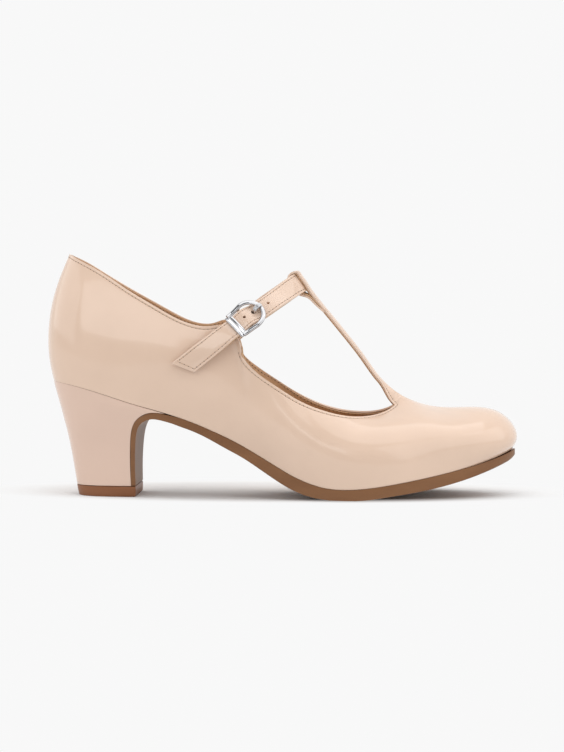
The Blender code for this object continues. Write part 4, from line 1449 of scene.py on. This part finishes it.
@dataclass
class Buckle:
    """The plated frame with its keeper band, the prong, and the tab that holds it."""

    finishes: Finishes
    wire_width: float = 2.2
    wire_height: float = 1.6
    wire_low: float = 1.2
    wire_rise: float = 1.7
    rise_over: tuple = (1.0, 11.0)
    centre_bar_at: float = 7.6
    centre_bar_depth: float = -1.6
    frame_end: float = 16.4
    tab_width: float = 7.0
    tab_thick: float = 1.0
    tab_ease: float = 0.05
    keeper_at: float = 0.9
    bar_half: float = 6.9
    bar_radius: float = 0.8
    dish_depth: float = 0.62
    rails: tuple = ((0.9, 6.5), (3.0, 6.65), (6.0, 6.9), (9.1, 7.3))

    def height(self, along: float) -> float:
        """How far out the frame's wire stands from the strap's middle plane."""
        return self.wire_low + self.wire_rise * eased(along, *self.rise_over)

    def bar(self, name: str, path, section):
        """A metal bar along a path, its section standing square to the strap.

        Args:
            name: the piece's name.
            path: points.
            section: its section, or one for each point.

        Returns:
            The piece.
        """
        rings = sweep(path, [unit(BUCKLE_FACE)] * len(path), section)
        return add_loft(name, rings, self.finishes.metal)

    def frame(self):
        """The bowed wire.

        Returns:
            The piece.
        """
        rails = np.array(self.rails)
        along = np.linspace(self.keeper_at, rails[-1, 0], 22)
        half = spline(rails[:, 0], rails[:, 1], along)[:, 0]
        widest = half[-1]
        turn = np.linspace(-math.pi / 2, math.pi / 2, 44)[1:-1]
        points = [(a, -h) for a, h in zip(along, half)]
        start = along[-1]
        points += [(start + (self.frame_end - start) * math.cos(t), widest * math.sin(t)) for t in turn]
        points += [(a, h) for a, h in zip(along[::-1], half[::-1])]
        path = np.array([buckle_point(a, h, self.height(a)) for a, h in points])
        section = rounded_section(self.wire_width / 2, self.wire_height / 2, 2.6, 20)
        bow = self.bar("buckle_bow", path, section)
        smooth(bow, 60)
        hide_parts("buckle_frame")
        return bow

    def keeper(self):
        """The arched band at the buckle's straight end.

        Returns:
            The piece.
        """
        shares = np.linspace(-1, 1, 41)
        path = []
        for share in shares:
            height = 2.05 - 1.1 * abs(share) ** 3
            path.append(buckle_point(self.keeper_at, share * self.bar_half + 0.3, height))
        sides = 28
        turn = np.linspace(0, 2 * math.pi, sides, endpoint=False)
        hollow = self.dish_depth * np.exp(-((np.cos(turn) / 0.42) ** 2))
        dish = np.where(np.sin(turn) > 0, hollow, 0.0)
        base = rounded_section(1.0, 0.7, 2.8, sides) - np.column_stack([np.zeros(sides), dish])
        sections = np.array([base * (2.0 * (1 - 0.22 * abs(share) ** 6), 1.0) for share in shares])
        piece = self.bar("buckle_keeper", path, sections)
        bevel(piece, 0.3, 2, 60)
        smooth(piece, 60)
        return piece

    def centre_bar(self):
        """The bar under the strap that the prong and the tab turn on.

        Returns:
            The piece.
        """
        rise = self.height(self.centre_bar_at) - self.centre_bar_depth
        path = []
        for share in np.linspace(-1, 1, 25):
            height = self.centre_bar_depth + rise * abs(share) ** 8
            path.append(buckle_point(self.centre_bar_at, share * self.bar_half, height))
        section = rounded_section(self.bar_radius, self.bar_radius, 2.0, 16)
        piece = self.bar("buckle_centre_bar", path, section)
        smooth(piece, 60)
        return piece

    def prong(self):
        """The grooved prong, from its curl on the centre bar to its tip on the bow.

        Returns:
            The piece.
        """
        table = np.array([
            (self.centre_bar_at + 1.15, self.centre_bar_depth), (10.0, -1.7), (11.2, -1.2), (12.0, 0.2),
            (12.5, 1.8), (13.2, 3.3), (14.4, 4.2), (15.8, 4.45), (17.2, 4.2),
        ])
        knots = lengths(table)
        fine = spline(knots, table, np.linspace(0, knots[-1], 44))
        path = np.array([buckle_point(along, HOLE_SHIFT, height) for along, height in fine])
        half_outline = [(1.15, -0.5), (1.3, 0.0), (1.05, 0.42), (0.6, 0.5), (0.25, 0.34)]
        mirrored = [(-side, height) for side, height in half_outline[::-1]]
        outline = np.array([(0.0, -0.55)] + half_outline + [(0.0, 0.1)] + mirrored)
        taper = 1 - 0.18 * np.linspace(0, 1, len(path)) ** 2
        side = np.cross(unit(BUCKLE_ALONG), unit(BUCKLE_FACE))
        faces = [np.cross(side, way) for way in directions(path)]
        rings = sweep(path, faces, np.array([outline * share for share in taper]))
        piece = add_loft("buckle_prong_bar", rings, self.finishes.metal)
        bevel(piece, 0.2, 2, 60)
        modify(piece, "SUBSURF", levels=1, render_levels=1)
        smooth(piece, 60)
        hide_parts("buckle_prong")
        return piece

    def tab(self):
        """The short strap round the centre bar, sewn inside the quarter.

        Returns:
            The piece.
        """
        reach = self.bar_radius + self.tab_ease + GAP + self.tab_thick / 2
        places = [(-12.7, -10.8), (-6.7, -8.7), (-1.8, -6.6), (2.4, -4.2)]
        places.append((5.2, self.centre_bar_depth - reach))
        for angle in (-60, -30, 0, 30, 60, 90):
            turn = math.radians(angle)
            along = self.centre_bar_at + reach * math.cos(turn)
            places.append((along, self.centre_bar_depth + reach * math.sin(turn)))
        places += [(5.2, -0.7), (2.6, -1.6)]
        path = np.array([buckle_point(along, 0.0, height) for along, height in places])
        buckle_side = unit(np.cross(unit(BUCKLE_ALONG), unit(BUCKLE_FACE)))
        quarter_side = unit(np.cross(unit(BUCKLE_ALONG), np.array([-0.05, -0.98, 0.18])))
        faces = []
        for index, ahead in enumerate(directions(path)):
            turn = eased(index, 0, 4)
            side = unit(quarter_side * (1 - turn) + buckle_side * turn)
            faces.append(np.cross(side, ahead))
        knots = lengths(path)
        fine = spline(knots, np.column_stack([path, faces]), np.linspace(0, knots[-1], 70))
        section = rounded_section(self.tab_width / 2, self.tab_thick / 2, 8.0, 28)
        rings = sweep(fine[:, :3], fine[:, 3:], section)
        piece = add_loft("buckle_tab_leather", rings, self.finishes.strap)
        smooth(piece, 60)
        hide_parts("buckle_tab")
        return piece

    def build(self) -> list:
        """All the buckle's pieces."""
        return [self.frame(), self.keeper(), self.centre_bar(), self.prong(), self.tab()]


@dataclass
class Softbox:
    """A large soft light, by its direction from the shoe and the angle that it fills."""

    name: str
    azimuth: float
    elevation: float
    wide: float
    high: float
    glow: float
    distance: float = 3.0

    def add(self) -> None:
        """Puts the light in the scene."""
        data = bpy.data.lights.new(self.name, "AREA")
        data.shape = "RECTANGLE"
        data.size = 2 * self.distance * math.tan(math.radians(self.wide / 2))
        data.size_y = 2 * self.distance * math.tan(math.radians(self.high / 2))
        data.energy = self.glow * math.pi * data.size * data.size_y
        turn, rise = math.radians(self.azimuth), math.radians(self.elevation)
        way = Vector((math.sin(turn) * math.cos(rise), -math.cos(turn) * math.cos(rise), math.sin(rise)))
        lamp = bpy.data.objects.new(self.name, data)
        lamp.location = way * self.distance
        lamp.rotation_euler = way.to_track_quat("Z", "Y").to_euler()
        lamp.visible_camera = False
        bpy.context.scene.collection.objects.link(lamp)


@dataclass
class Studio:
    """Pale floor and backdrop, soft lights and the camera at the photograph's angle."""

    background: float = 0.94
    room: float = 0.23
    floor_albedo: float = 0.80
    floor_size: float = 16.0
    shadow_oval: tuple = (0.36, 1.0, 1.0)
    shadow_shift: tuple = (0.0, -0.018, 0.0)
    shadow_fades: tuple = (0.038, 0.060)
    room_turns: tuple = (-0.35, 0.55)
    dome_radius: float = 8.5
    azimuth: float = math.radians(3.5)
    elevation: float = math.radians(3.0)
    distance: float = 1.2
    target: tuple = (0.00055, 0.0003, 0.0596)
    lens: float = 114.9
    lights: tuple = (
        Softbox("left_box", -22.0, 29.0, 30.0, 25.0, 2.0),
        Softbox("left_wing", -82.0, 25.0, 66.0, 36.0, 1.08),
        Softbox("right_box", 62.0, 31.0, 78.0, 48.0, 1.2),
        Softbox("overhead", 30.0, 80.0, 62.0, 50.0, 1.42),
    )

    def glowing(self, name: str, level: float):
        """A material that shines evenly.

        Args:
            name: its name.
            level: how bright it is.

        Returns:
            The material and its emission node.
        """
        material = bpy.data.materials.new(name)
        material.use_nodes = True
        tree = material.node_tree
        glow = tree.nodes.new("ShaderNodeEmission")
        glow.inputs["Color"].default_value = (*(level,) * 3, 1)
        tree.links.new(glow.outputs[0], tree.nodes["Material Output"].inputs["Surface"])
        return material, glow

    def floor(self) -> None:
        """Lays the floor, which takes shadows near the shoe and further off is as pale as the rest."""
        bpy.ops.object.select_all(action="DESELECT")
        bpy.ops.mesh.primitive_plane_add(size=self.floor_size)
        floor = bpy.context.object
        floor.name = "studio_floor"
        material, glow = self.glowing("pale_floor", self.background)
        tree = material.node_tree
        shader = tree.nodes["Principled BSDF"]
        shader.inputs["Base Color"].default_value = (*(self.floor_albedo,) * 3, 1)
        shader.inputs["Roughness"].default_value = 0.9
        shader.inputs["Specular IOR Level"].default_value = 0.0
        place_on = tree.nodes.new("ShaderNodeTexCoord").outputs["Object"]
        oval = tree.nodes.new("ShaderNodeVectorMath")
        oval.operation = "MULTIPLY_ADD"
        oval.inputs[1].default_value = self.shadow_oval
        oval.inputs[2].default_value = self.shadow_shift
        tree.links.new(place_on, oval.inputs[0])
        far = tree.nodes.new("ShaderNodeVectorMath")
        far.operation = "LENGTH"
        tree.links.new(oval.outputs[0], far.inputs[0])
        fade = tree.nodes.new("ShaderNodeMapRange")
        fade.interpolation_type = "SMOOTHSTEP"
        fade.inputs["From Min"].default_value = self.shadow_fades[0]
        fade.inputs["From Max"].default_value = self.shadow_fades[1]
        tree.links.new(far.outputs["Value"], fade.inputs["Value"])
        mix = tree.nodes.new("ShaderNodeMixShader")
        tree.links.new(fade.outputs["Result"], mix.inputs["Fac"])
        tree.links.new(shader.outputs[0], mix.inputs[1])
        tree.links.new(glow.outputs[0], mix.inputs[2])
        tree.links.new(mix.outputs[0], tree.nodes["Material Output"].inputs["Surface"])
        floor.data.materials.append(material)

    def dome(self) -> None:
        """Hangs the pale backdrop all round, for the camera alone."""
        bpy.ops.object.select_all(action="DESELECT")
        bpy.ops.mesh.primitive_uv_sphere_add(segments=64, ring_count=32, radius=self.dome_radius)
        dome = bpy.context.object
        dome.name = "studio_backdrop"
        dome.data.materials.append(self.glowing("pale_backdrop", self.background)[0])
        dome.visible_diffuse = False
        dome.visible_glossy = False
        dome.visible_transmission = False
        dome.visible_shadow = False

    def world(self) -> None:
        """The room: dim on the camera's side, pale behind the shoe."""
        world = bpy.data.worlds.new("room")
        world.use_nodes = True
        tree = world.node_tree
        shade = tree.nodes["Background"]
        way = tree.nodes.new("ShaderNodeTexCoord").outputs["Generated"]
        parts = tree.nodes.new("ShaderNodeSeparateXYZ")
        tree.links.new(way, parts.inputs[0])
        level = tree.nodes.new("ShaderNodeMapRange")
        level.interpolation_type = "SMOOTHSTEP"
        level.inputs["From Min"].default_value = self.room_turns[0]
        level.inputs["From Max"].default_value = self.room_turns[1]
        level.inputs["To Min"].default_value = self.room
        level.inputs["To Max"].default_value = self.background
        tree.links.new(parts.outputs["Y"], level.inputs["Value"])
        tree.links.new(level.outputs["Result"], shade.inputs["Strength"])
        shade.inputs["Color"].default_value = (1, 1, 1, 1)
        bpy.context.scene.world = world

    def camera(self) -> None:
        """The camera."""
        data = bpy.data.cameras.new("photo_camera")
        data.lens = self.lens
        data.sensor_width = 36
        data.sensor_fit = "AUTO"
        data.clip_start = 0.01
        camera = bpy.data.objects.new("photo_camera", data)
        way = Vector((
            -math.sin(self.azimuth) * math.cos(self.elevation),
            math.cos(self.azimuth) * math.cos(self.elevation),
            -math.sin(self.elevation),
        ))
        camera.location = Vector(self.target) - way * self.distance
        camera.rotation_euler = way.to_track_quat("-Z", "Y").to_euler()
        bpy.context.scene.collection.objects.link(camera)
        bpy.context.scene.camera = camera

    def build(self) -> None:
        """Sets up the whole studio."""
        settings = bpy.context.scene.view_settings
        settings.view_transform = "Standard"
        settings.look = "None"
        self.world()
        self.dome()
        self.floor()
        for light in self.lights:
            light.add()
        self.camera()


def main() -> None:
    """Builds the studio and every piece of the shoe."""
    logging.basicConfig(level=logging.INFO, format="%(name)s: %(message)s")
    Studio().build()
    finishes = Finishes()
    last = LastShape()
    stitching = Stitching(finishes)
    sole = Sole(last, finishes)
    heel = Heel(last, finishes)
    pieces = [sole.outsole(), sole.insole(), heel.block(), heel.lift()]
    pieces += Upper(last, finishes).build(stitching)
    pieces += AnkleStrap(finishes).build(stitching)
    pieces += Buckle(finishes).build()
    for piece in pieces:
        LOG.info("%s: %d faces", piece.name, len(piece.data.polygons))


if __name__ == "__main__":
    main()
